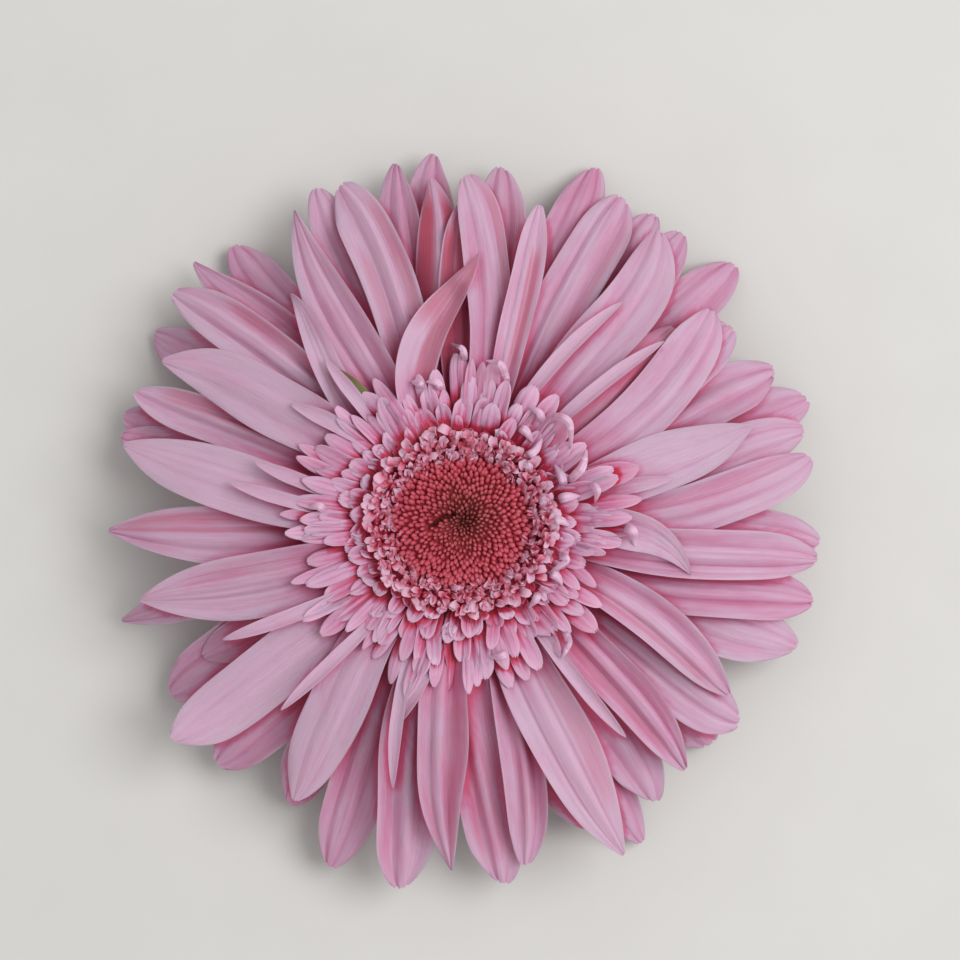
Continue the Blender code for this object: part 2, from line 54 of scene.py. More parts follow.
# A petal, which is a long ray floret. node: the CAD ray floret that it stands for, 0 for one that has none.
# inner, mid, tip: azimuths of the middle line where it leaves the trans florets, half way and at the tip.
# tier: 0 lowest to 3 highest. A fraction lifts it part of the way, and it is laid with the whole tier below.
# cup: rise of the edges, as a share of half the width. fold: V fold. ridge: depth of the two troughs beside
# a middle ridge. crease: depth of the narrow grooves. bank: how far it leans over. sharp: 0 blunt to about
# 1 pointed.
# shade: bands across the blade, from its right edge at -1 to its left at 1, painted dusky rose as painted
# shade where the blade would turn away from the light, each as low, high, the shares of the length where it
# starts and ends, and strength.
Petal = namedtuple(
    "Petal", "node inner mid tip reach width tier cup fold ridge crease bank sharp shade", defaults=((),))
PETALS = tuple(Petal(*row) for row in (
    (1, 358.5, 358.5, 357.2, 56, 8.3, 1, 0.1, 0, 0.1, 0.4, 0, 0.3),
    (2, 1.5, 4.8, 11.3, 55, 7.4, 2, 0.1, 0, 0.12, 0.35, -8, 0.3, ((0.1, 0.7, 0.2, 0.9, 0.3),)),
    (3, 9.5, 13.5, 15.5, 55.3, 7.4, 1.5, 0.15, 0, 0.12, 0.35, 14, 0.3),
    (4, 18, 19.5, 20.7, 58.1, 8.4, 0, 0.1, 0, 0.1, 0.3, 0, 0.2),
    (5, 15.8, 17.3, 18.8, 47.3, 8.4, 3, -0.1, 0, 0, 0.12, 0, 0.9),
    (6, 25.5, 26.4, 26.5, 54.7, 8.3, 1, 0.1, 0, 0.1, 0.35, 0, 0.3),
    (7, 33.5, 35.5, 36.5, 52.7, 8.2, 1, 0.1, 0, 0.08, 0.3, 0, 0.1),
    (8, 30, 34, 40.6, 51.1, 8.2, 2, 0.1, 0, 0.06, 0.35, 4, 0.3),
    (9, 44.5, 44.5, 44.5, 60.1, 8, 0, 0.1, 0, 0.08, 0.25, 0, 0.2),
    (10, 49.5, 51.5, 53.3, 57.9, 7.8, 1, 0.15, 0, 0.1, 0.3, 0, 0.3, ((-1, -0.3, 0.1, 0.8, 0.3),)),
    (11, 53.8, 52.4, 56.3, 55.2, 8.8, 2, 0.1, 0, 0.06, 0.25, 0, 0.5),
    (12, 59.5, 59, 58.7, 58.1, 7.8, 0, 0.15, 0, 0.12, 0.3, 0, 0.3),
    (13, 65.8, 65.2, 64, 57.9, 8.2, 1, 0.15, 0, 0.1, 0.45, -6, 0.1, ((-0.8, -0.3, 0.2, 0.9, 0.3),)),
    (14, 73, 71.5, 70, 60.9, 7.6, 0, 0.1, 0, 0.06, 0.3, 0, 0.3),
    (15, 74.2, 75.3, 76.3, 50.8, 4.6, 3, 0.2, 0.35, 0.1, 0.2, 0, 0.5, ((-0.75, -0.1, 0.3, 0.8, 0.6),)),
    (16, 82, 82.3, 83.7, 57.2, 7.4, 0, 0.15, 0, 0.1, 0.3, 0, 0.3, ((-1, 1, 0, 0.85, 0.3),)),
    (17, 80.9, 83.9, 89.5, 54.7, 6.6, 2, 0.1, 0.15, 0.05, 0.3, 6, 0.2, ((-1, -0.45, 0.3, 0.95, 0.5),)),
    (18, 93, 95.4, 94.3, 59.3, 8.2, 0, 0.3, 0, 0.2, 0.3, 0, 0.6, ((-1, 1, 0, 0.72, 0.5),)),
    (0, 97, 94.8, 95.2, 54.6, 7.4, 1, 0, -0.55, 0, 0.15, 0, 0.8,
     ((-1, -0.22, 0, 0.92, 1), (0.2, 1, 0, 0.94, 1))),
    (0, 90.5, 90, 90.2, 50, 6.4, 1, 0.15, 0, 0.1, 0.25, 0, 0.5, ((-1, 1, 0, 0.9, 0.9),)),
    (19, 103, 102.8, 100.3, 58.3, 7.4, 0, 0.1, 0, 0.1, 0.3, 8, 0.7, ((-1, -0.2, 0, 0.8, 0.45),)),
    (20, 107, 106.9, 109.8, 56.5, 7.8, 2, 0.1, 0, 0.22, 0.45, 4, 0.2,
     ((-0.9, -0.3, 0.1, 0.9, 0.4), (0.35, 0.8, 0.1, 0.7, 0.3))),
    (21, 112, 113, 113.2, 57.7, 7.4, 1, 0.25, 0, 0.1, 0.3, 12, 0.4),
    (22, 121, 120.7, 118, 55.5, 7.4, 2, 0.15, 0, 0.12, 0.45, 4, 1),
    (0, 134, 129, 126.5, 44.2, 4.2, 3, 0.1, 0.45, 0, 0.2, 0, 0.9),
    (23, 128, 129, 128.8, 57.5, 7.8, 0, 0.1, 0, 0.08, 0.3, 0, 0.3),
    (24, 130.5, 133.3, 135.4, 59.2, 7.4, 1, 0.15, 0, 0.18, 0.35, 0, 0.9, ((0.1, 0.8, 0.1, 0.8, 0.35),)),
    (25, 137, 138.4, 141, 57.8, 7.4, 2, 0.1, 0, 0.2, 0.45, 0, 0.4, ((-1, -0.35, 0.25, 0.8, 0.45),)),
    (26, 146, 147, 148, 57.7, 8, 0, 0.1, 0, 0.08, 0.3, 0, 0.3, ((-1, 1, 0, 0.7, 0.35),)),
    (27, 147, 147.8, 151.3, 52.7, 8.9, 3, -0.08, 0, 0.04, 0.12, 0, 0.8),
    (28, 157, 157.4, 157.5, 54.9, 6.4, 2, 0.2, 0, 0.25, 0.3, 0, 0.4, ((-1, 0, 0.15, 0.9, 0.45),)),
    (29, 161.5, 162, 162, 56, 8, 0, 0.1, 0, 0.1, 0.3, 0, 0.3, ((-1, 1, 0, 0.85, 0.45),)),
    (0, 167, 166, 165, 55.3, 7.2, 0, 0.1, 0, 0.1, 0.25, 0, 0.5),
    (30, 172, 169.4, 166.7, 53.6, 9, 3, -0.05, 0, 0.05, 0.15, -3, 0.8),
    (31, 183.2, 182.2, 180.7, 54.9, 8.6, 2, 0.15, 0, 0.16, 0.5, 4, 0.9, ((-0.8, 0, 0.1, 0.95, 0.5),)),
    (32, 197.5, 195.3, 193.1, 50.7, 9.4, 3, 0.1, 0, 0.12, 0.5, 0, 0.9, ((-0.6, -0.1, 0.2, 0.85, 0.3),)),
    (33, 190, 193.5, 195.3, 55.3, 7.5, 1, 0.1, 0, 0.08, 0.3, 0, 0.9),
    (34, 206, 208, 209.7, 52.7, 8.8, 0.8, 0.15, 0, 0.1, 0.3, 0, 0.2, ((-1, 1, 0, 0.8, 0.12),)),
    (35, 217, 217.3, 217, 55.3, 9, 3, -0.06, 0, 0, 0.12, 0, 0.4),
    (36, 226.5, 225.5, 224, 53.3, 8.8, 0.7, 0.1, 0, 0.1, 0.3, 0, 0.2, ((-1, 1, 0, 0.85, 0.12),)),
    (0, 236, 237, 237.5, 51, 8, 0, 0.1, 0, 0.1, 0.25, 0, 0.3),
    (37, 232.8, 236.5, 238.8, 49.6, 8.7, 3, -0.08, 0, 0.03, 0.15, 0, 0.7),
    (38, 246, 247.5, 248.7, 56.9, 8.6, 0, 0.05, 0, 0.06, 0.4, 0, 0.4, ((-1, 1, 0, 0.72, 0.2),)),
    (39, 255.5, 258, 260.6, 56.9, 9, 1, 0.2, 0, 0.4, 0.15, 0, 0.3),
    (40, 264.2, 265.4, 268.3, 53.2, 7.4, 2, 0.25, 0, 0.4, 0.2, 0, 1,
     ((-0.85, -0.2, 0.4, 0.95, 0.2), (0.2, 0.85, 0.35, 0.95, 0.3))),
    (41, 272, 274.6, 276.4, 55.8, 8, 1, 0.15, 0, 0.35, 0.25, 4, 0.2, ((-0.7, 0.75, 0.45, 0.92, 0.3),)),
    (42, 286.5, 284.2, 280.6, 53.4, 6.2, 2, 0.2, 0, 0.35, 0.3, -5, 0.4, ((-0.5, 0.1, 0.3, 0.95, 0.3),)),
    (0, 289, 290.5, 293, 51.1, 7.4, 0, 0.1, 0, 0.1, 0.25, 0, 0.4),
    (43, 294, 294.8, 296.3, 56.4, 9.4, 3, 0, 0, 0.05, 0.6, 0, 0.9, ((0.45, 1, 0.2, 0.8, 0.3),)),
    (44, 302.5, 300.5, 299.7, 56.9, 7, 0, 0.15, 0, 0.1, 0.3, 0, 0.5),
    (45, 305.5, 306.5, 305, 52.2, 8.3, 1, 0.1, 0, 0.1, 0.3, 0, 0.4),
    (46, 315.5, 314.4, 312.5, 51.1, 6.8, 2, 0.15, 0, 0.3, 0.45, 0, 0.7, ((-0.7, -0.1, 0.1, 0.9, 0.4),)),
    (47, 321.5, 320.5, 319, 51.9, 8.6, 0, 0.1, 0, 0.08, 0.3, 0, 0),
    (48, 326, 324.5, 325, 52.7, 9, 1.7, 0.1, 0, 0.12, 0.6, 0, 0.2),
    (49, 335.5, 331.5, 327.6, 48.8, 6.6, 2, 0.1, 0, 0.2, 0.45, 0, 0.7, ((-0.7, -0.1, 0.1, 0.9, 0.4),)),
    (50, 338, 339, 340, 55.5, 9, 0.8, 0.1, 0, 0.06, 0.3, 0, 0.4),
    (51, 340.5, 344.8, 348.3, 56.1, 8, 1, 0.15, 0, 0.14, 0.5, 0, 0.3, ((0.2, 0.8, 0.2, 0.85, 0.3),)),
    (52, 351.5, 353.2, 354.5, 55.3, 7.2, 2, 0.1, 0, 0.18, 0.5, 0, 0.4),
    (53, 105.3, 94.1, 86.5, 41.6, 6, 3, 0.05, 0.55, 0, 0.1, -18, 1.1,
     ((-1, 0.1, 0.12, 1, 0.62), (0.1, 1, 0.62, 1, 0.62))),
    (0, 38.5, 41, 43, 45, 6, 1, 0.1, 0, 0.1, 0.2, 0, 0.5, ((-1, 1, 0, 1, 0.45),)),
    (0, 60, 60.5, 61, 43, 6, 0, 0.1, 0, 0.1, 0.2, 0, 0.5, ((-1, 1, 0, 1, 0.3),)),
    (0, 208, 207.5, 207, 45, 6.4, 1, 0.1, 0, 0.1, 0.2, 0, 0.4, ((-1, 1, 0, 1, 0.3),)),
    (0, 291, 290.5, 290, 43, 6, 1, 0.1, 0, 0.1, 0.2, 0, 0.4, ((-1, 1, 0, 1, 0.3),)),
    (0, 343.5, 343.5, 343, 43, 6.2, 0.9, 0.1, 0, 0.1, 0.2, 0, 0.4),
    (0, 357.5, 354, 347.5, 35.8, 5.6, 3, 0.1, 0.35, 0, 0.15, 8, 1),
))

# Trans florets: azimuth at the root and at the tip, radius where it comes out from under its neighbours,
# reach, width, curl (how far the tip rolls up and back, 0 to 1), sharp, and rosy, 0 pale to 1 deep pink;
# rosy is partly the floret's own pink and partly painted shade on florets that lie in shadow.
Floret = namedtuple("Floret", "root tip bare reach width curl sharp rosy")
FLORETS = tuple(Floret(*row) for row in (
    (178, 179, 19, 24.6, 2.3, 0, 0.6, 0.1), (177, 177.2, 22, 27.7, 2, 0, 0.7, 0.2),
    (171.5, 172.2, 21, 25.9, 2.2, 0, 0.7, 0.1), (173, 173.4, 16, 22.5, 2.3, 0, 0.5, 0.1),
    (165.5, 164.8, 19, 25.2, 2.5, 0, 0.7, 0.2), (162, 162.5, 17, 21.1, 2.1, 0, 0.6, 0.1),
    (168.4, 168.4, 15, 19.2, 2.4, 0, 0.1, 0), (161, 158.2, 20, 27.2, 2.1, 0, 0.7, 0.3),
    (155.5, 154.2, 22, 27.7, 2.1, 0, 0.8, 0.2), (152.5, 152.8, 16.9, 25.1, 2.5, 0, 0.2, 0),
    (159, 159.2, 18.4, 24, 1.9, 0, 0.4, 0.1), (147, 147.3, 18.6, 24.7, 2.5, 0, 0.3, 0.2),
    (141.5, 142.6, 16.7, 21.2, 2.1, 0, 0.8, 0.2), (139, 139.7, 19.8, 24.9, 1.8, 0, 0.5, 0.1),
    (138, 137.4, 22, 26, 1.9, 1, 0.1, 0.1), (135.5, 135.7, 16.2, 23.4, 1.6, 0, 0.5, 0.1),
    (131.5, 131.7, 15.2, 21.8, 1.8, 0, 0.2, 0), (126, 127, 15.2, 21.2, 2, 0, 0.2, 0),
    (122.5, 127.4, 20, 24.9, 2.7, 0, 0.4, 0), (118.5, 121.3, 20.5, 25.8, 2.2, 0, 0.6, 0.2),
    (112.7, 113.9, 16.4, 21.4, 1.8, 0, 0.6, 0.1), (118, 116.5, 14.5, 19.2, 1.7, 0, 0.4, 0),
    (107.5, 106.5, 21, 23.4, 1.8, 1, 0.5, 0.2), (101.5, 100, 20, 23.6, 2.4, 1, 0.5, 0.1),
    (104.5, 104.7, 14.5, 21.1, 2.6, 0, 0.2, 0), (97.6, 97.6, 17, 20.4, 1.7, 0, 0.4, 0.1),
    (98.5, 99.5, 15, 18.4, 2.2, 1, 0.5, 0), (93, 93, 13.7, 16.5, 1.9, 0, 0.2, 0.3),
    (92, 92, 20, 25.9, 2, 0, 0.4, 0.5), (269.5, 269.5, 16, 21.1, 2.1, 0, 0.5, 0.1),
    (262, 266.4, 17, 22.8, 2, 0, 0.5, 0.1), (264.5, 265.7, 22, 25.6, 1.7, 0, 0.7, 0.3),
    (258.5, 260.5, 21.5, 25.3, 1.9, 0, 0.6, 0.2), (252, 259.8, 15.2, 22.1, 2.3, 0, 0.3, 0),
    (248.5, 252.5, 16, 22.4, 2.1, 0, 0.4, 0), (253, 252.5, 23, 28, 2.5, 0, 0.5, 0.1),
    (240, 246.3, 20, 26.7, 2, 0, 0.6, 0.1), (243, 243.5, 14.5, 19.8, 2.8, 0, 0, 0.5),
    (237.5, 236.6, 19.5, 24.6, 2, 0, 0.4, 0.1), (233, 233.5, 16, 22.5, 1.8, 0, 0.3, 0),
    (231, 231.9, 20, 24.4, 1.5, 0, 0.7, 0.2), (235.8, 236, 16.8, 20.3, 1.2, 0, 0.5, 0),
    (225, 228.3, 15.8, 21.7, 2.7, 0, 0.3, 0.2), (222.5, 223.3, 20, 24.1, 1.9, 0, 0.6, 0.1),
    (217.4, 217.4, 16.9, 24.2, 2.8, 0, 0.3, 0.2), (218.8, 218.4, 23, 27.4, 2.9, 0, 0.3, 0.3),
    (211.5, 211.7, 23, 28.3, 2.1, 0, 0.5, 0.1), (209, 209.1, 18.3, 23.9, 2.6, 0, 0.1, 0.2),
    (201.5, 201.8, 17, 25.5, 2.6, 0, 0.6, 0.1), (202.3, 202.3, 16, 20.6, 2.1, 0, 0.1, 0.1),
    (199.6, 199.4, 23, 27.5, 1.7, 0, 0.6, 0.2), (194, 194, 18, 24.3, 2.6, 0, 0.1, 0.2),
    (186.5, 185.7, 20, 24.7, 1.8, 0, 0.7, 0.1), (183.5, 183.5, 22, 26.9, 2.3, 0, 0.5, 0.3),
    (182.6, 182.8, 18.4, 24, 2.3, 0, 0.3, 0.1), (188.5, 187.8, 16, 21.2, 2, 0, 0.5, 0.5),
    (181.5, 181.5, 15.5, 19.1, 1.8, 0, 0.2, 0.1), (357.5, 357.3, 21, 26.4, 2.6, 1, 0.3, 0.3),
    (3.5, 1.5, 14, 21, 4.2, 0.6, 0, 0.3), (352, 352, 18, 22.3, 1.9, 0, 0.5, 0.4),
    (348.5, 347.6, 18, 22.3, 1.5, 0.4, 0.5, 0.4), (350.5, 346.7, 16.7, 20.6, 2, 0, 0.4, 0.3),
    (343, 334.4, 18, 22.6, 1.8, 0.8, 0.5, 0.3), (341, 341, 15.5, 19.9, 2.4, 0, 0.2, 0.9),
    (337, 330.6, 16, 20.6, 1.9, 0, 0.4, 0.3), (327, 327, 17, 21, 2, 0.9, 0.3, 0.2),
    (327, 329.2, 20, 24.8, 2.3, 0, 0.5, 0.2), (326.8, 322.5, 14.8, 20.3, 2.9, 0, 0.2, 0.4),
    (322.6, 321.2, 19, 26.4, 3.1, 0, 0.4, 0.6), (314, 306.5, 18, 25.2, 1.6, 0.9, 0.6, 0.2),
    (317, 314.5, 18, 23.5, 2, 0.9, 0.4, 0.2), (309.8, 309.8, 14.8, 22.1, 4.2, 0, 0, 0.8),
    (298.5, 298, 17.5, 25.3, 2.6, 0, 0.2, 0.1), (302.5, 294, 15, 19.2, 1.5, 0.3, 0.6, 0.1),
    (292.5, 283, 16, 19.9, 2, 0.8, 0.5, 0.3), (289.3, 289.3, 14, 17, 2.6, 0, 0.1, 0),
    (292.7, 292.7, 20, 25.9, 2.3, 0, 0.2, 0.1), (286.6, 286.6, 19, 26.2, 2.7, 0, 0.5, 0.2),
    (279.5, 278.5, 14.8, 24.1, 3.1, 0, 0.3, 0.1), (274.5, 272.4, 20, 26, 1.8, 0.7, 0.6, 0.3),
    (271.5, 271.5, 15.5, 21.1, 2, 0, 0.3, 0.1), (277, 275.5, 21, 25, 1.8, 0, 0.5, 0.2),
    (86, 85.7, 16.3, 22.3, 2.9, 0, 0.1, 0), (76, 78.2, 15.5, 22.3, 2, 0, 0.5, 0.2),
    (70, 72.2, 14.8, 22.6, 2.4, 0, 0.4, 0), (73.5, 79, 20, 24.9, 2.4, 1, 0.4, 0.3),
    (61, 61.6, 18.3, 23.6, 3.2, 0.4, 0.1, 0.1), (64, 64, 16.2, 20.1, 2.2, 0, 0.1, 0),
    (55.5, 55.5, 15, 18.4, 2.8, 1, 0.3, 0.4), (44.5, 45, 16, 22.3, 4.6, 1, 0.1, 0.7),
    (35.5, 35.5, 17, 20.4, 2.4, 1, 0.3, 0.6), (47.2, 49.3, 13.8, 18.3, 1.9, 0, 0.6, 0),
    (41.5, 37.4, 14.4, 18.6, 2.1, 0, 0.8, 0.2), (28.4, 32.2, 17.2, 22.3, 2.6, 0, 0.5, 0),
    (31, 31, 15.5, 18, 2.3, 0.6, 0.3, 0), (23, 23, 15.3, 17.8, 2.1, 0.6, 0.3, 0),
    (16.5, 15.2, 14.4, 18.5, 2.3, 0, 0.8, 0.2), (15.4, 15.4, 16.5, 21.2, 2.9, 1, 0.2, 0.5),
    (20.5, 17.2, 19, 28.2, 3.6, 0, 0.6, 0.8), (8.3, 7.3, 19.5, 27.5, 2.3, 0, 0.6, 0.6),
    (2.5, 1.5, 20.5, 25.8, 2.6, 0, 0.6, 0.5), (89.5, 89.5, 21, 26.5, 1.8, 0, 0.5, 0.6),
    (86.5, 86.5, 21, 25, 1.7, 0, 0.7, 0.6), (82.5, 82.5, 21, 24.6, 1.7, 0, 0.6, 0.7),
    (53, 53, 20, 24.2, 2.6, 0, 0.4, 0.3), (80.5, 80.5, 13.8, 17.6, 2.5, 0, 0.3, 0.4),
))

# Short florets at the rim of the disc: azimuth, radius and width.
STUBS = (
    (177, 14.9, 1.6), (164.2, 14.4, 2.1), (156.6, 15.6, 2.5), (146.7, 15.9, 1.7), (144, 14.3, 2.2),
    (138, 15.8, 2.2), (131, 14.3, 2), (121, 14.4, 1.9), (110, 14.3, 1.9), (99.7, 13.4, 1.7),
    (261.8, 16.2, 2.4), (251, 14.4, 2.3), (236.5, 14.2, 2.1), (227, 14.2, 1.9), (219.4, 16, 2.2),
    (210, 16.4, 1.8), (207, 14.9, 1.8), (195, 15, 2.2), (189, 15.2, 2.2), (186.9, 16, 1.6),
    (183.8, 13.3, 1.5), (273.8, 14.2, 1.6), (297.5, 15.4, 2), (306, 14.5, 2.4), (315.7, 14.2, 1.8),
    (318.8, 16.6, 1.9), (323.6, 14, 2.1), (344.8, 16, 2.1), (333.5, 15.6, 2.3), (352, 14.8, 1.7),
    (343, 14, 2.1), (355, 13.8, 2.2), (67, 14.3, 2), (58, 13.6, 2), (44.5, 13.8, 2.4), (86, 13.5, 1.9),
    (75, 13.3, 1.8), (25, 14.9, 1.8), (17.8, 13.7, 2.6), (31, 13.9, 1.9), (5, 14, 2), (242, 13.8, 1.8),
    (284, 14.2, 1.9), (170.5, 13.6, 1.7), (215, 13.7, 1.8),
)

# Long slender florets that reach out over the petals: root azimuth, tip azimuth, reach, width.
LONG_FLORETS = (
    (48.5, 42, 41.5, 3.4), (67, 54, 41.8, 3.6), (131, 129.8, 32.5, 3.2), (136, 145, 31.8, 3.8),
    (169, 163.5, 33, 3.4), (177, 170, 36, 3.2), (214, 206, 40.4, 3.6), (229, 226, 39.5, 3.2),
    (263, 252, 32.5, 3), (245, 255.5, 41.5, 3.2), (305, 307.5, 41, 3.4), (14, 12, 33, 3.6),
)

# Florets whose ends roll over sideways: where the crescent starts, turns and ends, from the middle of the
# disc, and its width.
Hook = namedtuple("Hook", "foot bend tip width")
HOOKS = tuple(Hook(*row) for row in (
    ((0.8, 24.3), (0.4, 26.4), (-1.5, 27.5), 1.1), ((7.1, 21.4), (6.1, 23.8), (3.8, 24.5), 1.2),
    ((-6, 20.1), (-6.2, 21.1), (-7.7, 21.4), 1.3), ((-3.3, 19.8), (-3.6, 20.9), (-5.3, 21.2), 1.3),
    ((8.5, 14.4), (9.7, 13.7), (10.8, 12.1), 1.4), ((9.2, 9.9), (11.1, 10.8), (12.2, 12.8), 1.3),
    ((13.5, 16.4), (16.3, 15), (16.6, 11.2), 1.3), ((8.9, 9.3), (10.1, 8.8), (11.3, 7.9), 1.3),
    ((15.8, 5.9), (18.1, 8), (18.9, 10.9), 1.4), ((15.4, 5.2), (15, 6.9), (14.1, 8.7), 1.4),
    ((14.2, 3.4), (15.9, 3.9), (17.9, 4), 1.5), ((11.4, 3.9), (12.7, 3.3), (13.9, 1.9), 1.6),
    ((19.3, 6.3), (20.7, 4.7), (20.2, 3), 1.1), ((24.3, -0.8), (25.9, -1.5), (26.2, -3.6), 1.4),
    ((15.3, -4.2), (16.3, -6), (13.2, -7.7), 1.2), ((13, -7.7), (14.4, -8.2), (15.2, -9.5), 1.3),
    ((15.4, -16.3), (16.4, -18.1), (15.2, -20.5), 1.1), ((11.7, -10.2), (11.3, -11.7), (10.2, -12.8), 1.2),
    ((7.2, -19.4), (6, -20.1), (4.2, -20.4), 1.2), ((13.4, -0.2), (14.9, 0.3), (16.3, -0.6), 1.4),
    ((-20.6, 1.6), (-21.6, 2.4), (-23.2, 2.2), 1.3), ((12.6, 14.9), (11.9, 16.6), (10.3, 17.4), 1.2),
))

# Lobes round the buds: count, inner and outer radius, height at each, length, width, rise, bend, how far
# they may turn from the spoke, and rosy, below 0 for pale.
Lobes = namedtuple("Lobes", "count inner outer low high length width rise bend turn rosy")
LOBES = (
    Lobes(130, 9.6, 11.6, 23.3, 23.9, (1.2, 1.9), (0.3, 0.5), (60, 95), (-150, 60), 180, 0.35),
    Lobes(80, 9.9, 11.0, 23.4, 23.9, (1.2, 1.8), (0.9, 1.5), (60, 95), (-40, 10), 35, -0.1),
    Lobes(320, 10.4, 13.4, 23.8, 25.2, (1.2, 2.0), (0.7, 1.3), (45, 90), (-100, 30), 120, 0.05),
    Lobes(120, 10.6, 13.4, 24.0, 25.4, (1.3, 2.0), (0.28, 0.5), (60, 95), (-160, 120), 180, 0.25),
    Lobes(120, 11.8, 13.8, 24.6, 25.6, (1.5, 2.4), (1.0, 1.7), (30, 70), (-60, 20), 70, -0.2),
)

# Rows of bracts: piece, node, count, the radius and height of the root, the middle and the tip, width, and
# the azimuth of the first.
Scale = namedtuple("Scale", "piece node count root middle tip width turn")
SCALES = (
    Scale("calyx_outer", "bracts_outer", 13, (4.6, 5.0), (9.4, 6.6), (13.6, 9.6), 2.7, 0.0),
    Scale("calyx_outer", "bracts_outer", 15, (6.6, 6.2), (11.2, 8.6), (15.2, 12.0), 2.9, 9.0),
    Scale("calyx_inner", "bracts_inner", 15, (8.6, 7.8), (12.8, 10.8), (16.0, 13.8), 3.2, 2.0),
    Scale("calyx_inner", "bracts_inner", 17, (10.4, 9.4), (13.9, 12.4), (16.6, 15.2), 3.2, 13.0),
)

# ---------------------------------------------------------------- small maths


def lerp(a, b, share):
    return a + (b - a) * share


def smooth(value, low, high):
    """0 below low, 1 above high, and an even slope between."""
    share = np.clip((value - low) / (high - low), 0.0, 1.0)
    return share * share * (3.0 - 2.0 * share)


def through_three(share, first, middle, last):
    """Parabola that is first at 0, middle at 0.5 and last at 1."""
    slope = 4.0 * middle - 3.0 * first - last
    return first + share * slope + share ** 2 * 2.0 * (first + last - 2.0 * middle)


def bell(value, centre, spread):
    return np.exp(-(((value - centre) / spread) ** 2))


def unit(vectors):
    length = np.linalg.norm(vectors, axis=-1, keepdims=True)
    return vectors / np.maximum(length, 1e-9)


def polar(radius, turn):
    return radius * math.cos(turn), radius * math.sin(turn)


def points_at(radius, turn, height):
    return np.stack((radius * np.cos(turn), radius * np.sin(turn), height), axis=1)


def across(columns):
    """Places across a blade, from -1 to 1, closest together at its edges."""
    return np.sin(np.linspace(-0.5, 0.5, columns) * math.pi)


def wave(shares, slowest, fastest, rng):
    """A sine along a blade, with a number of turns and a start of its own."""
    return np.sin(2 * math.pi * (rng.uniform(slowest, fastest) * shares + rng.random()))


def bands(rows, sectors, first=0, outward=False):
    """Four-sided faces between rows of points that each go once round."""
    faces = []
    for row in range(rows - 1):
        near, far = first + row * sectors, first + (row + 1) * sectors
        for k in range(sectors):
            after = (k + 1) % sectors
            one, other = near + after, far + k
            if outward:
                one, other = other, one
            faces.append((near + k, one, far + after, other))
    return faces


# ---------------------------------------------------------------- the height map


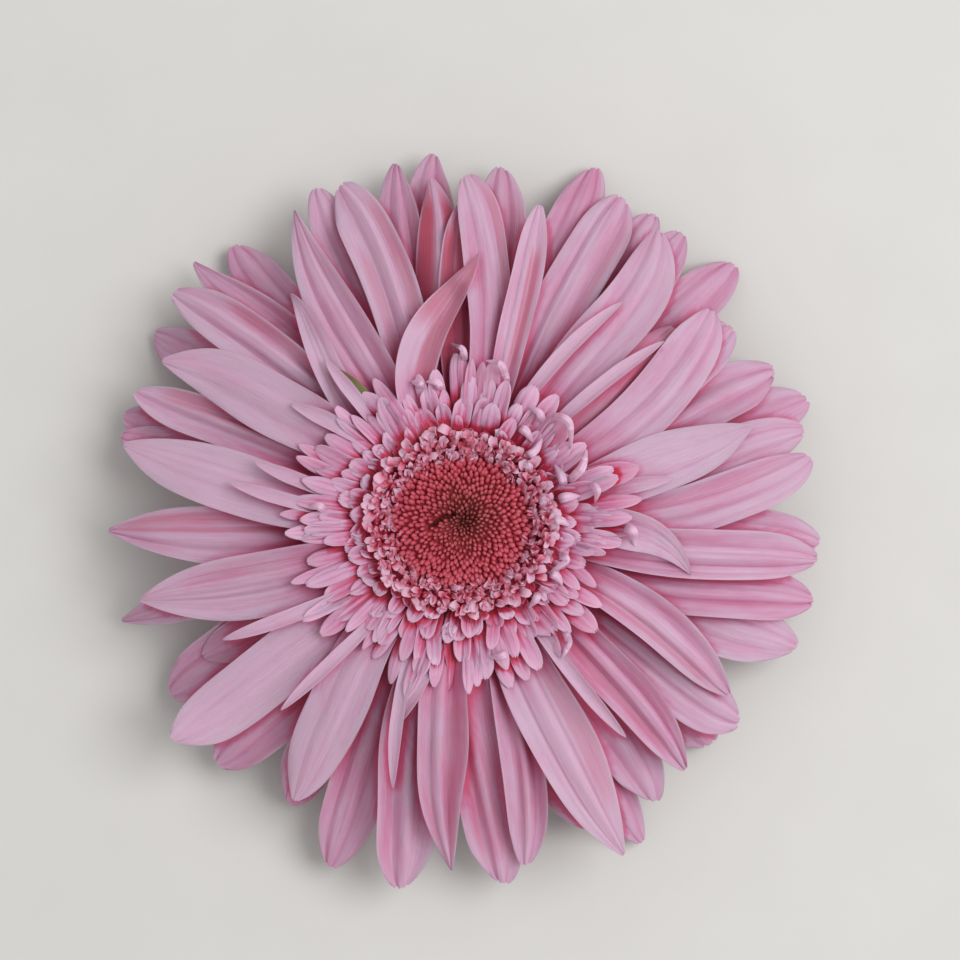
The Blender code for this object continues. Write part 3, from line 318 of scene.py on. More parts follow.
class Pile:
    """Height of everything laid so far, on a square grid seen from above.

    FINER: steps between two stations and between two columns. CLEARANCE: the gap kept under a blade.
    NEAR_CELLS and WIDE_CELLS: the two ranges at which heights are averaged. WIDE_WEIGHT falls to 0 over
    OPEN_RADII, where the petals stand apart.
    """

    CELL = 0.3
    REACH = 66.0
    FINER = (4, 2)
    CLEARANCE = 0.22
    NEAR_CELLS = 3
    WIDE_CELLS = 11
    WIDE_RELIEF = 2.3
    WIDE_WEIGHT = 0.45
    NEAR_WEIGHT = 0.75
    OPEN_RADII = (32.0, 50.0)

    def __init__(self, floor):
        count = int(2 * self.REACH / self.CELL) + 1
        self.height = np.full((count, count), floor)

    def cells(self, points):
        index = ((points[..., :2] + self.REACH) / self.CELL).round().astype(int)
        index = np.clip(index, 0, len(self.height) - 1)
        return index[..., 1], index[..., 0]

    def finer(self, grid):
        """The same surface with more points, spaced closer than the cells."""
        rows, columns = grid.shape[:2]
        at_row = np.linspace(0, rows - 1, (rows - 1) * self.FINER[0] + 1)
        at_column = np.linspace(0, columns - 1, (columns - 1) * self.FINER[1] + 1)
        row = np.minimum(at_row.astype(int), rows - 2)
        column = np.minimum(at_column.astype(int), columns - 2)
        down = (at_row - row)[:, None, None]
        right = (at_column - column)[None, :, None]
        top = grid[row][:, column] * (1 - right) + grid[row][:, column + 1] * right
        low = grid[row + 1][:, column] * (1 - right) + grid[row + 1][:, column + 1] * right
        return top * (1 - down) + low * down

    def settle(self, grid, sides, follow=0.97, bank_limit=0.5, give=0.0):
        """Raise a blade until it clears the pile: its two sides apart, so that it banks over a neighbour.

        sides is -1 to 1 across the blade. follow is how much of its rise each station hands on to the
        next one out, bank_limit how far one side may rise above the other, as a share of the width, and
        give how far the blade may press into what it lies on.
        """
        fine = self.finer(grid)
        fine_sides = self.finer(np.broadcast_to(sides[None, :, None], grid.shape[:2] + (1,)))[0, :, 0]
        share = 0.5 * (fine_sides + 1.0)
        need = self.height[self.cells(fine)] + self.CLEARANCE - give - fine[..., 2]
        step = self.FINER[0]
        left = np.zeros(len(grid))
        right = np.zeros(len(grid))
        for i in range(len(grid)):
            near = need[max(0, step * (i - 1)):step * (i + 1) + 1]
            left[i] = max(0.0, near[:, share < 0.5].max())
            right[i] = max(0.0, near[:, share >= 0.5].max())
            short = max(0.0, (near - (left[i] * (1 - share) + right[i] * share)).max())
            left[i] += short
            right[i] += short
        limit = bank_limit * np.linalg.norm(grid[:, -1, :2] - grid[:, 0, :2], axis=1)
        left = np.maximum(left, right - limit)
        right = np.maximum(right, left - limit)
        left, right = self.ease(left, follow), self.ease(right, follow)
        lifted = grid.copy()
        place = 0.5 * (sides + 1.0)
        lifted[..., 2] += left[:, None] * (1 - place) + right[:, None] * place
        return lifted

    @staticmethod
    def spread(lift, times):
        """Smooth a row of lifts, never lowering one."""
        for _ in range(times):
            padded = np.concatenate((lift[:1], lift, lift[-1:]))
            lift = np.maximum(lift, (padded[:-2] + padded[1:-1] + padded[2:]) / 3.0)
        return lift

    def ease(self, lift, follow):
        lift = self.spread(lift, 6)
        for i in range(1, len(lift)):
            lift[i] = max(lift[i], lift[i - 1] * follow)
        return self.spread(lift, 4)

    def add(self, grid):
        fine = self.finer(grid)
        np.maximum.at(self.height, self.cells(fine), fine[..., 2])

    def lay(self, grid, sides, **how):
        """Settle a blade on the pile and make it part of it."""
        grid = self.settle(grid, sides, **how)
        self.add(grid)
        return grid

    def finish(self):
        """Average height of the top surface round each cell, at two ranges, for the depth of a point."""
        self.near = self.blurred(self.NEAR_CELLS)
        self.wide = self.blurred(self.WIDE_CELLS)

    def blurred(self, reach):
        total = self.height
        for axis in (0, 1):
            padded = np.concatenate((total, total, total), axis=axis)
            count = self.height.shape[axis]
            summed = np.cumsum(padded, axis=axis)
            high = np.take(summed, np.arange(count, 2 * count) + reach, axis=axis)
            low = np.take(summed, np.arange(count, 2 * count) - reach - 1, axis=axis)
            total = (high - low) / (2 * reach + 1)
        return total

    def depth(self, points, relief):
        """How deep each point lies under its surroundings, 0 on top and 1 a few times relief down, for
        painted shade.
        """
        cells = self.cells(points)
        near = np.clip((self.near[cells] - points[..., 2]) / relief, -0.3, 1.0)
        wide = np.clip((self.wide[cells] - points[..., 2]) / (self.WIDE_RELIEF * relief), -0.3, 1.0)
        exposed = smooth(np.linalg.norm(points[..., :2], axis=-1), *self.OPEN_RADII)
        return np.clip(self.NEAR_WEIGHT * near + lerp(self.WIDE_WEIGHT, 0.0, exposed) * wide, 0.0, 1.0)


# ---------------------------------------------------------------- meshes


class Bunch:
    """Vertices, faces and surface values of one piece, gathered floret by floret.

    Each point has three vectors. leaf: share of the length, place across from -1 to 1, and 0 on the upper
    face to 1 on the under one. look: tone of the floret, how deep the point lies in a trough, and a value
    that each material explains. place: depth in the head, crease above 0 or painted shade below it, and
    tilt.
    The materials paint shade from the depth, the trough, the crease and the tilt.
    """

    made = []

    def __init__(self, name, material, slot, node=None, relief=2.2):
        self.name = name
        self.material = material
        self.slot = slot
        self.node = node
        self.relief = relief
        self.points = []
        self.leaf = []
        self.look = []
        self.place = []
        self.faces = []
        self.sharp = []
        self.count = 0
        Bunch.made.append(self)

    def add(self, points, faces, leaf, look, place=None, sharp=None):
        """place: crease and tilt of each point. sharp: pairs of points whose edge stays crisp."""
        self.points.append(points)
        self.place.append(np.zeros((len(points), 2)) if place is None else place)
        self.leaf.append(leaf)
        self.look.append(np.broadcast_to(look, points.shape))
        self.faces.extend(tuple(index + self.count for index in face) for face in faces)
        if sharp is not None:
            self.sharp.append(sharp + self.count)
        self.count += len(points)

    def piece(self, pile):
        """One object of everything gathered, riding on the root body."""
        mesh = bpy.data.meshes.new(self.name)
        points = np.concatenate(self.points)
        mesh.from_pydata((points * MM).tolist(), [], self.faces)
        place = np.column_stack((pile.depth(points, self.relief), np.concatenate(self.place)))
        values = {"leaf": np.concatenate(self.leaf), "look": np.concatenate(self.look), "place": place}
        for title, value in values.items():
            layer = mesh.attributes.new(title, "FLOAT_VECTOR", "POINT")
            layer.data.foreach_set("vector", value.astype(np.float32).ravel())
        mesh.polygons.foreach_set("use_smooth", np.ones(len(mesh.polygons), bool))
        if self.sharp:
            self.crisp(mesh)
        mesh.materials.append(self.material)
        mesh.update()
        thing = bpy.data.objects.new(self.name, mesh)
        bpy.context.scene.collection.objects.link(thing)
        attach(thing, "root")
        if self.node:
            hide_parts(self.node)

    def crisp(self, mesh):
        """Mark the kept pairs of points as sharp edges, so that thin rims take the light of their face."""
        ends = np.empty(2 * len(mesh.edges), int)
        mesh.edges.foreach_get("vertices", ends)
        ends = np.sort(ends.reshape(-1, 2), axis=1)
        pairs = np.sort(np.concatenate(self.sharp), axis=1)
        flags = np.isin(ends[:, 0] * self.count + ends[:, 1], pairs[:, 0] * self.count + pairs[:, 1])
        layer = mesh.attributes.new("sharp_edge", "BOOLEAN", "EDGE")
        layer.data.foreach_set("value", flags)


def ribbon(axis, side, upward, half, lift, sides):
    """Points across a middle line, half the width to each side and raised by lift, a share of that."""
    grid = axis[:, None, :] + side[:, None, :] * (half[:, None] * sides[None, :])[..., None]
    return grid + upward[:, None, :] * (half[:, None] * lift[None, :])[..., None]


def tip_arc(sides, end, width, roundness):
    """How far a rounded tip falls back, from its middle towards its edges."""
    return TIP_FALL * end * 0.5 * width * (1.0 - np.sqrt(np.maximum(1.0 - (roundness * sides) ** 2, 0.0)))


def go_round(over, under):
    """Rows that go once round a blade, out over its upper face and back under it."""
    return np.concatenate((over, under[:, -2:0:-1]), axis=1)


def shell(bunch, grid, shares, sides, thin, look, hollow=None, crease=None):
    """Closed thin body round a grid of points, with its two long edges shared by both faces.

    thin: half the thickness at the middle line, and the shares by which it is less at the edge and the tip.
    """
    rows, columns = grid.shape[:2]
    thickest, less_at_edge, less_at_tip = thin
    half = thickest * (1.0 - less_at_edge * sides[None, :] ** 2) * (1.0 - less_at_tip * shares[:, None])
    normal = unit(np.cross(np.gradient(grid, axis=0), np.gradient(grid, axis=1)))
    offset = normal * half[..., None]
    body = go_round(grid + offset, grid - offset)
    edges = (0, columns - 1)
    body[:, edges] = grid[:, (0, -1)]
    ring = 2 * columns - 2
    side = np.concatenate((sides, sides[-2:0:-1]))
    under = np.concatenate((np.zeros(columns), np.ones(columns - 2)))
    under[list(edges)] = 0.5
    leaf = np.stack(np.broadcast_arrays(shares[:, None], side[None, :], under[None, :]), axis=-1)
    looks = np.broadcast_to(np.array(look, float), body.shape).copy()
    if hollow is not None:
        looks[..., 1] = go_round(hollow, hollow)
    place = np.zeros(body.shape[:2] + (2,))
    if crease is not None:
        place[..., 0] = go_round(crease, crease)
    # tilt: how steeply the face stands, which the materials paint as shade on steep sides.
    tilt = 1.0 - np.abs(normal[..., 2])
    place[..., 1] = go_round(tilt, tilt)
    starts = ring * np.arange(rows)
    tip = starts[-1] + np.arange(ring)
    sharp = [np.column_stack((starts[:-1] + edge, starts[1:] + edge)) for edge in edges]
    sharp.append(np.column_stack((tip, np.roll(tip, -1))))
    faces = bands(rows, ring, outward=True)
    faces.append(tuple(range(ring)))
    last = (rows - 1) * ring
    for j in range(columns - 1):
        face = (last + j, last + (ring - j) % ring, last + ring - j - 1, last + j + 1)
        faces.append(tuple(dict.fromkeys(face)))
    bunch.add(body.reshape(-1, 3), faces, leaf.reshape(-1, 3), looks.reshape(-1, 3), place.reshape(-1, 2),
              np.concatenate(sharp))


# ---------------------------------------------------------------- petals

RAY_SEED = 11
ROOT_RADIUS = 14.3
INNER_RADIUS = 25.6
MID_RADIUS = 38.8
# Heights of the middle line at the root, half way and at the tip, for each tier.
TIER_HEIGHTS = ((15.6, 16.8, 18.0, 19.2), (12.4, 15.2, 17.0, 18.3), (2.0, 5.6, 9.6, 13.4))
TIP_STEP = 0.9  # how much higher each tip ends than the one before it, in rounds of four
TIP_LIFT = (-0.8, 1.2)
SWELL = 0.35

RAY_STATIONS = 44
RAY_COLUMNS = 25
RAY_THIN = (0.17, 0.8, 0.5)
CLAW_WIDTH = 0.5
WIDER = 1.06
UNEVEN = 0.06
# For a blunt petal and for a pointed one: where it is widest, the share of its width that its tip ends with,
# and the two powers by which it narrows to that.
WIDEST_AT = (0.68, 0.5)
TIP_END = (0.44, 0.05)
LEAST_TIP = 0.03
TIP_BULGE = (4.4, 1.9)
TIP_POWER = (0.6, 0.95)

# The three main grooves: place across, how far it may stray, and depth as a share of the crease.
GROOVES = ((-0.36, 0.08, 1.0), (0.36, 0.08, 0.9), (0.0, 0.06, 0.45))
GROOVE_WIDTH = 0.1
LINE_WIDTH = 0.05
# Finer grooves and ridges: how many, how far across they are found, and their greatest depth or height.
PLEATS = 5
PLEATS_TO = 0.85
PLEAT = 0.5
TROUGH_DEPTH = (0.35, 1.2)
RIDGE = (0.07, 1.3)
FLUTTER = 0.22
TIP_NOTCH = 0.6
TIP_SLANT = 0.35
RAY_ROUNDNESS = 0.995
# How far the pattern strays across and the blade twists, how much more its edges rise near the root, and
# how much they drop near the tip.
ASTRAY = 0.14
TWIST = 7
CHANNEL = (0.15, 0.4)
FLARE = (0.0, 0.22)


def width_share(shares, sharp):
    """Width along a petal as a share of its widest, and the width that its tip ends with."""
    widest = lerp(*WIDEST_AT, sharp)
    grown = np.clip(shares / widest, 0.0, 1.0)
    past = np.clip((shares - widest) / (1.0 - widest), 0.0, 1.0)
    end = max(lerp(*TIP_END, sharp), LEAST_TIP)
    rising = CLAW_WIDTH + (1.0 - CLAW_WIDTH) * grown * (2.0 - grown)
    falling = end + (1.0 - end) * (1.0 - past ** lerp(*TIP_BULGE, sharp)) ** lerp(*TIP_POWER, sharp)
    return np.where(shares < widest, rising, falling), end


def middle_line(petal, number, shares, rng):
    """Points along the middle of a petal, and the directions along it and to its left, seen from above."""
    knots = (ROOT_RADIUS, INNER_RADIUS, min(MID_RADIUS, 0.5 * (INNER_RADIUS + petal.reach)), petal.reach)
    root = petal.inner - 0.5 * (petal.mid - petal.inner)
    course = np.polyfit(knots, (root, petal.inner, petal.mid, petal.tip), 3)
    radius = lerp(ROOT_RADIUS, petal.reach, shares)
    azimuth = np.radians(np.polyval(course, radius))
    low, middle, high = (float(np.interp(petal.tier, range(4), level)) for level in TIER_HEIGHTS)
    height = through_three(shares, low, middle, high + TIP_STEP * (number % 4))
    height += rng.uniform(*TIP_LIFT) * smooth(shares, 0.72, 1.0) ** 2
    height += SWELL * wave(shares, 0.9, 1.6, rng) * smooth(shares, 0.1, 0.4)
    axis = points_at(radius, azimuth, height)
    along = unit(np.gradient(axis[:, :2], axis=0))
    return axis, along, np.stack((-along[:, 1], along[:, 0]), axis=1)


def shade_bands(petal, bent, shares):
    """How strongly each point of a petal takes the painted shade of its bands."""
    shade = np.zeros((len(shares), len(bent)))
    for low, high, start, stop, strength in petal.shade:
        inside = smooth(bent, low - 0.08, low + 0.08) * smooth(-bent, -high - 0.08, 0.08 - high)
        length = smooth(shares, start - 0.1, start + 0.05) * smooth(-shares, -stop - 0.08, 0.08 - stop)
        shade = np.maximum(shade, strength * length[:, None] * inside[None, :])
    return shade


def ray_grid(petal, number, rng):
    """Middle surface of a petal, how deep each point lies in a trough, and its crease lines, painted as
    shade, less its painted shade bands.
    """
    shares = 1.0 - (1.0 - np.linspace(0.0, 1.0, RAY_STATIONS)) ** 1.3
    even = np.linspace(-1.0, 1.0, RAY_COLUMNS)
    sides = 0.5 * (even + np.sin(0.5 * math.pi * even))
    axis, along, left = middle_line(petal, number, shares, rng)

    widths, end = width_share(shares, petal.sharp)
    half = 0.5 * WIDER * petal.width * widths
    wobble = 1.0 + UNEVEN * wave(shares, 0.8, 1.9, rng)
    half_side = np.where(sides[None, :] > 0, (half * wobble)[:, None], (half * (2.0 - wobble))[:, None])

    bent = sides + rng.uniform(-ASTRAY, ASTRAY) * (1.0 - sides ** 2)
    fade = smooth(shares, 0.02, 0.3) * (1.0 - 0.45 * smooth(shares, 0.72, 1.0))
    trough = np.sin(math.pi * np.clip(np.abs(bent), 0.0, 1.0)) ** 1.6
    trough *= np.where(bent > 0.0, rng.uniform(*TROUGH_DEPTH), rng.uniform(*TROUGH_DEPTH))
    marks = [(place + rng.uniform(-stray, stray), share) for place, stray, share in GROOVES]
    pleats = [(rng.uniform(-PLEATS_TO, PLEATS_TO), rng.uniform(-PLEAT, PLEAT)) for _ in range(PLEATS)]
    grooves = sum(share * bell(bent, place, GROOVE_WIDTH) for place, share in marks + pleats)
    ridge = RIDGE[0] + RIDGE[1] * petal.ridge
    section = petal.cup * sides ** 2 + petal.fold * (np.sqrt(bent ** 2 + 0.02) - 0.14) - ridge * trough
    twist = np.radians(petal.bank + rng.uniform(-TWIST, TWIST) * (shares - 0.4))
    flutter = np.zeros((RAY_STATIONS, RAY_COLUMNS))
    for edge in (sides > 0, sides < 0):
        flutter += np.where(edge, 1.0, 0.0)[None, :] * wave(shares, 1.5, 3.0, rng)[:, None]
    channel = rng.uniform(*CHANNEL) * (1.0 - smooth(shares, 0.1, 0.55))
    channel -= rng.uniform(*FLARE) * smooth(shares, 0.6, 1.0)
    rise = half[:, None] * (fade[:, None] * section[None, :] + channel[:, None] * (sides ** 2)[None, :])
    rise -= petal.crease * fade[:, None] * grooves[None, :]
    rise += half[:, None] * np.tan(twist)[:, None] * sides[None, :]
    rise += FLUTTER * flutter * (sides ** 4)[None, :] * smooth(shares, 0.15, 0.5)[:, None]

    arc = tip_arc(sides, end, petal.width, RAY_ROUNDNESS)
    notch = sum(TIP_NOTCH * share * bell(sides, place, 0.12) for place, share in marks)
    slant = TIP_SLANT * (3 * number % 5 - 2) * sides
    back = smooth(shares, 0.8, 1.0)[:, None] * (arc + (notch + slant) * (1.0 - 0.8 * petal.sharp))[None, :]
    grid = np.empty((RAY_STATIONS, RAY_COLUMNS, 3))
    grid[..., :2] = axis[:, None, :2] + left[:, None, :] * (half_side * sides)[..., None]
    grid[..., :2] -= along[:, None, :] * back[..., None]
    grid[..., 2] = axis[:, None, 2] + rise
    hollow = ridge * 1.5 * trough + petal.crease * 0.8 * grooves + petal.fold * (1 - np.abs(bent))
    hollow = fade[:, None] * np.clip(hollow, 0, 1)[None, :]
    # Painted shade along the crease lines; the painted shade of the bands is taken off below 0.
    crease_shade = sum(max(share, 0.0) * bell(bent, place, LINE_WIDTH) for place, share in marks + pleats)
    crease_shade = fade[:, None] * np.clip(crease_shade, 0, 1)[None, :] * min(1.0, 2.0 * petal.crease)
    return grid, shares, sides, hollow, crease_shade - shade_bands(petal, bent, shares)


def build_rays(pile, material):
    """The tiers from the lowest up, each petal laid over those before it."""
    rng = np.random.default_rng(RAY_SEED)
    between = Bunch("petals_between", material, "ray_petal")
    for index in sorted(range(len(PETALS)), key=lambda index: int(PETALS[index].tier)):
        petal = PETALS[index]
        grid, shares, sides, hollow, crease = ray_grid(petal, index, rng)
        grid = pile.lay(grid, sides)
        bunch = between
        if petal.node:
            bunch = Bunch("petal_%02d" % petal.node, material, "ray_petal", "ray_floret_%02d" % petal.node)
        # tone differs at random from petal to petal and rises with the tier, so lower petals come out rosier
        # as painted shade.
        tone = 0.4 + 0.12 * petal.tier + 0.25 * rng.random()
        shell(bunch, grid, shares, sides, RAY_THIN, (tone, 0.0, petal.width), hollow, crease)


# ---------------------------------------------------------------- trans florets

TRANS_SEED = 23
TRANS_STATIONS = 26
TRANS_COLUMNS = 11
TRANS_ROOT = 13.0
TRANS_ROOT_Z = 20.8
TRANS_HIDDEN = 1.4
TRANS_INNER = 15.0
TRANS_OUTER = 28.0
TRANS_WIDER = 1.08
TRANS_THIN = (0.12, 0.7, 0.0)
TRANS_RELIEF = 0.85
# The three rings, and the reach under which a floret belongs to the middle one and to the inner one.
RINGS = (("trans_ring_1", "outer"), ("trans_ring_2", "middle"), ("trans_ring_3", "inner"))
RING_LIMITS = (24.0, 20.0)
# Angles at which a floret leaves the head and at which it ends, for the innermost and the outermost, and
# how much more upright it stands on the side where the head is fullest.
RISE = (66, 24)
LEAN = (-4, -14)
FULLEST = 25.0
MORE_RISE = 14
MORE_LEAN = 20
RISE_VARIES = 6
LEAN_VARIES = 8
MOST_CURL = 30.0
CURL_VARIES = (-14, 8)
HIGHER_INSIDE = 1.0

# Across a strap: its two grooves and its tip notches, each a place and a depth, and how wide they are.
GROOVE_AT = 0.38
GROOVE_SPREAD = 0.16
NOTCHES = ((0.3, 0.1), (-0.32, 0.1))
STRAP_ROUNDNESS = 0.99
# For a blunt strap and for a pointed one: the share of its width that its tip ends with, and a power.
STRAP_END = (0.5, 0.06)
STRAP_BULGE = (3.0, 1.5)
STRAP_POWER = 0.7
# Shares of its length: where it starts to narrow, and how long its tip is.
STRAP_NARROWS = 0.7
STRAP_TIP = 0.3

# Stubs: the angle at which they rise, how much higher and further out they start, how far they reach in and
# out from their radius, and how pale they are.
STUB_RISE = (22, 50)
STUB_LIFT = 1.9
STUB_ROOT = 0.3
STUB_LENGTHS = (1.6, 1.0)
STUB_ROSY = -0.35
# Fillers: every how many degrees gaps are looked for, the least gap along the spoke, and their length.
FILL_STEP = 6
FILL_GAP = 3.8
FILL_LENGTH = 5.0

LONG_ROOT = (13.0, 20.4)
LONG_WIDTH = 0.66
LONG_ANGLES = (26, -14)
STRAY_BRACT = Floret(126.5, 129.4, 24.0, 30.6, 2.9, 0.0, 1.0, 0.0)
STRAY_ROOT = (14.6, 19.0)
STRAY_ANGLES = (20, -12)
STRAY_THIN = (0.14, 0.7, 0.0)

HOOK_Z = 21.0
HOOK_ARCH = 0.42  # rise of the crescent as a share of its length
HOOK_RISE = 0.5
HOOK_TOP = 32.4
HOOK_SINK = 2.4
HOOK_STATIONS = 30
HOOK_COLUMNS = 13
HOOK_ROUNDING = 14


def bent_path(root, reach, rise, lean, curl, curl_from, stations):
    """Shares, radii and heights along a floret that goes from the angle rise to lean, and ends curled."""
    shares = np.linspace(0.0, 1.0, stations)
    angle = np.radians(lerp(rise, lean, shares ** 0.75) + curl * smooth(shares, curl_from, 1.0) ** 1.3)
    middle = 0.5 * (angle[1:] + angle[:-1])
    step = 1.0 / (stations - 1)
    out = np.concatenate(([0.0], np.cumsum(np.cos(middle)) * step))
    up = np.concatenate(([0.0], np.cumsum(np.sin(middle)) * step))
    length = (reach - root[0]) / max(out.max(), 0.15)
    return shares, root[0] + length * out, root[1] + length * up


def strap_share(shares, sharp, claw):
    """Width along a strap as a share of its widest, and the width that its tip ends with."""
    past = np.clip((shares - STRAP_NARROWS) / STRAP_TIP, 0.0, 1.0)
    end = lerp(*STRAP_END, sharp)
    rising = claw + (1.0 - claw) * smooth(shares, 0.0, 0.55)
    return rising * (end + (1.0 - end) * (1.0 - past ** lerp(*STRAP_BULGE, sharp)) ** STRAP_POWER), end


def two_grooves(sides, spread):
    return bell(sides, -GROOVE_AT, spread) + bell(sides, GROOVE_AT, spread)


def floret_grid(ends, path, width, columns, rng, *, cup, bank, sharp, claw, groove):
    """Middle surface of a strap-shaped floret with a rounded, notched tip.

    ends: azimuths of its root and tip. path: shares, radii and heights along it.
    """
    shares, radius, height = path
    sides = across(columns)
    azimuth = np.radians(lerp(*ends, shares ** 0.9))
    axis = points_at(radius, azimuth, height)
    along = unit(np.gradient(axis, axis=0))
    left = unit(np.stack((-np.sin(azimuth), np.cos(azimuth), np.zeros_like(azimuth)), axis=1))
    roll = np.radians(bank) * smooth(shares, 0.1, 0.8)
    side = left * np.cos(roll)[:, None] + unit(np.cross(along, left)) * np.sin(roll)[:, None]
    upward = unit(np.cross(along, side))
    widths, end = strap_share(shares, sharp, claw)
    half = 0.5 * width * widths
    lift = cup * sides ** 2 - groove * two_grooves(sides, GROOVE_SPREAD)
    notch = sum(depth * bell(sides, place, GROOVE_SPREAD) for place, depth in NOTCHES) * width
    arc = tip_arc(sides, end, width, STRAP_ROUNDNESS)
    back = smooth(shares, 0.78, 1.0)[:, None] * (arc + notch * rng.uniform(0.4, 1.6))[None, :]
    grid = ribbon(axis, side, upward, half, lift, sides) - along[:, None, :] * back[..., None]
    hollow = np.clip(2.2 * groove * two_grooves(sides, 0.2), 0.0, 1.0)
    return grid, sides, np.broadcast_to(hollow, grid.shape[:2])


def fillers(rng):
    """Short florets laid where two rows lie far apart along the spoke."""
    found = []
    for azimuth in range(0, 360, FILL_STEP):
        close = [each for each in FLORETS if abs((each.tip - azimuth + 180) % 360 - 180) < FILL_STEP]
        reaches = sorted(each.reach for each in close)
        for low, high in zip([TRANS_INNER] + reaches, reaches):
            if high - low > FILL_GAP:
                reach = lerp(low, high, rng.uniform(0.4, 0.6))
                tip = azimuth + rng.uniform(-4, 4)
                found.append(Floret(
                    tip + rng.uniform(-5, 5), tip, reach - FILL_LENGTH, reach, rng.uniform(2.0, 2.9),
                    rng.choice((0.0, 0.0, 0.2)), rng.uniform(0.1, 0.8), rng.uniform(0.0, 0.15)))
    return found


def stubs(rng):
    return [Floret(
        azimuth + rng.uniform(-7, 7), azimuth, radius - STUB_LENGTHS[0], radius + STUB_LENGTHS[1], width,
        rng.choice((0.0, 0.0, 0.4)), rng.uniform(0.35, 1.0), STUB_ROSY) for azimuth, radius, width in STUBS]


def trans_path(floret, rng):
    """Path of one trans floret: steep near the disc and on the fullest side, flat further out."""
    outward = float(np.clip((floret.reach - TRANS_INNER) / (TRANS_OUTER - TRANS_INNER), 0.0, 1.0))
    upright = max(0.0, math.cos(math.radians(floret.tip - FULLEST)))
    stub = floret.rosy < 0.0
    rise = lerp(*RISE, outward) + MORE_RISE * upright + rng.uniform(-RISE_VARIES, RISE_VARIES)
    if stub:
        rise = rng.uniform(*STUB_RISE)
    lean = lerp(*LEAN, outward) + MORE_LEAN * upright * outward + rng.uniform(-LEAN_VARIES, LEAN_VARIES)
    curl = MOST_CURL * floret.curl + rng.uniform(*CURL_VARIES)
    root = floret.bare + STUB_ROOT if stub else min(TRANS_ROOT, floret.bare - TRANS_HIDDEN)
    root_z = TRANS_ROOT_Z + HIGHER_INSIDE * (1.0 - outward) + STUB_LIFT * stub
    return bent_path((root, root_z), floret.reach, rise, lean, curl, 0.6, TRANS_STATIONS)


def build_trans(pile, material, petals, bract):
    """Outer florets first, so that each inner one lies over those beyond it."""
    rng = np.random.default_rng(TRANS_SEED)
    rings = []
    for piece, place in RINGS:
        rings.append(Bunch(piece, material, "trans_petal", "trans_florets_" + place, TRANS_RELIEF))
    build_stray(pile, bract, rng)
    build_long(pile, petals, rng)
    florets = list(FLORETS) + stubs(rng) + fillers(rng)
    for floret in sorted(florets, key=lambda each: -each.reach):
        path = trans_path(floret, rng)
        grid, sides, hollow = floret_grid(
            (floret.root, floret.tip), path, TRANS_WIDER * floret.width, TRANS_COLUMNS, rng,
            cup=rng.uniform(-0.35, 0.4), bank=rng.uniform(-26, 26), sharp=floret.sharp,
            claw=rng.uniform(0.42, 0.6), groove=rng.uniform(0.12, 0.26))
        grid = pile.lay(grid, sides, follow=0.85, bank_limit=0.8, give=0.7)
        ring = rings[sum(floret.reach < limit for limit in RING_LIMITS)]
        shell(ring, grid, path[0], sides, TRANS_THIN, (rng.random(), 0.0, floret.rosy), hollow)
    build_hooks(pile, rings[-1], rng)


def hook_path(hook):
    """Middle line of a crescent, from its foot among the other florets round its turn to its tip."""
    shares = np.linspace(0.0, 1.0, HOOK_STATIONS)
    corners = zip(hook.foot, hook.bend, hook.tip)
    path = np.stack([np.interp(shares, (0.0, 0.5, 1.0), corner) for corner in corners], axis=1)
    for _ in range(HOOK_ROUNDING):
        path[1:-1] = 0.25 * path[:-2] + 0.5 * path[1:-1] + 0.25 * path[2:]
    return shares, np.column_stack((path, np.full(HOOK_STATIONS, HOOK_Z)))


def build_hooks(pile, bunch, rng):
    """Ends of florets that roll over sideways, each a pale crescent with a blunt ridge."""
    sides = across(HOOK_COLUMNS)
    for hook in HOOKS:
        shares, axis = hook_path(hook)
        along = unit(np.gradient(axis, axis=0))
        level = unit(np.stack((-along[:, 1], along[:, 0], np.zeros(len(axis))), axis=1))
        roll = math.radians(rng.uniform(-30, 30))
        side = level * math.cos(roll) + unit(np.cross(along, level)) * math.sin(roll)
        half = 0.5 * hook.width * np.sin(math.pi * lerp(0.12, 0.97, shares ** 0.8)) ** 0.75
        grid = ribbon(axis, side, unit(np.cross(along, side)), half, -0.7 * np.abs(sides) ** 1.4, sides)
        grid = pile.settle(grid, sides, follow=0.5, bank_limit=0.4, give=0.5)
        length = np.linalg.norm(np.diff(axis, axis=0), axis=1).sum()
        arch = min(HOOK_ARCH * length + HOOK_RISE, HOOK_TOP - grid[..., 2].max())
        grid[..., 2] += (arch * np.sin(math.pi * shares ** 0.8))[:, None]
        grid[..., 2] -= HOOK_SINK * (1.0 - smooth(shares, 0.0, 0.3))[:, None]
        look = (rng.uniform(0.6, 1.0), 0.0, -0.3)
        shell(bunch, grid, lerp(0.45, 1.0, shares), sides, TRANS_THIN, look)


def build_stray(pile, material, rng):
    """One bract that stands up between the petals."""
    path = bent_path(STRAY_ROOT, STRAY_BRACT.reach, *STRAY_ANGLES, 0.0, 0.7, 22)
    grid, sides = floret_grid(
        (STRAY_BRACT.root, STRAY_BRACT.tip), path, STRAY_BRACT.width, 9, rng,
        cup=0.3, bank=-10, sharp=1.0, claw=0.8, groove=0.0)[:2]
    grid = pile.lay(grid, sides, follow=0.95, give=0.3)
    shell(Bunch("calyx_stray", material, "bract"), grid, path[0], sides, STRAY_THIN, (0.6, 0.0, 0.0))


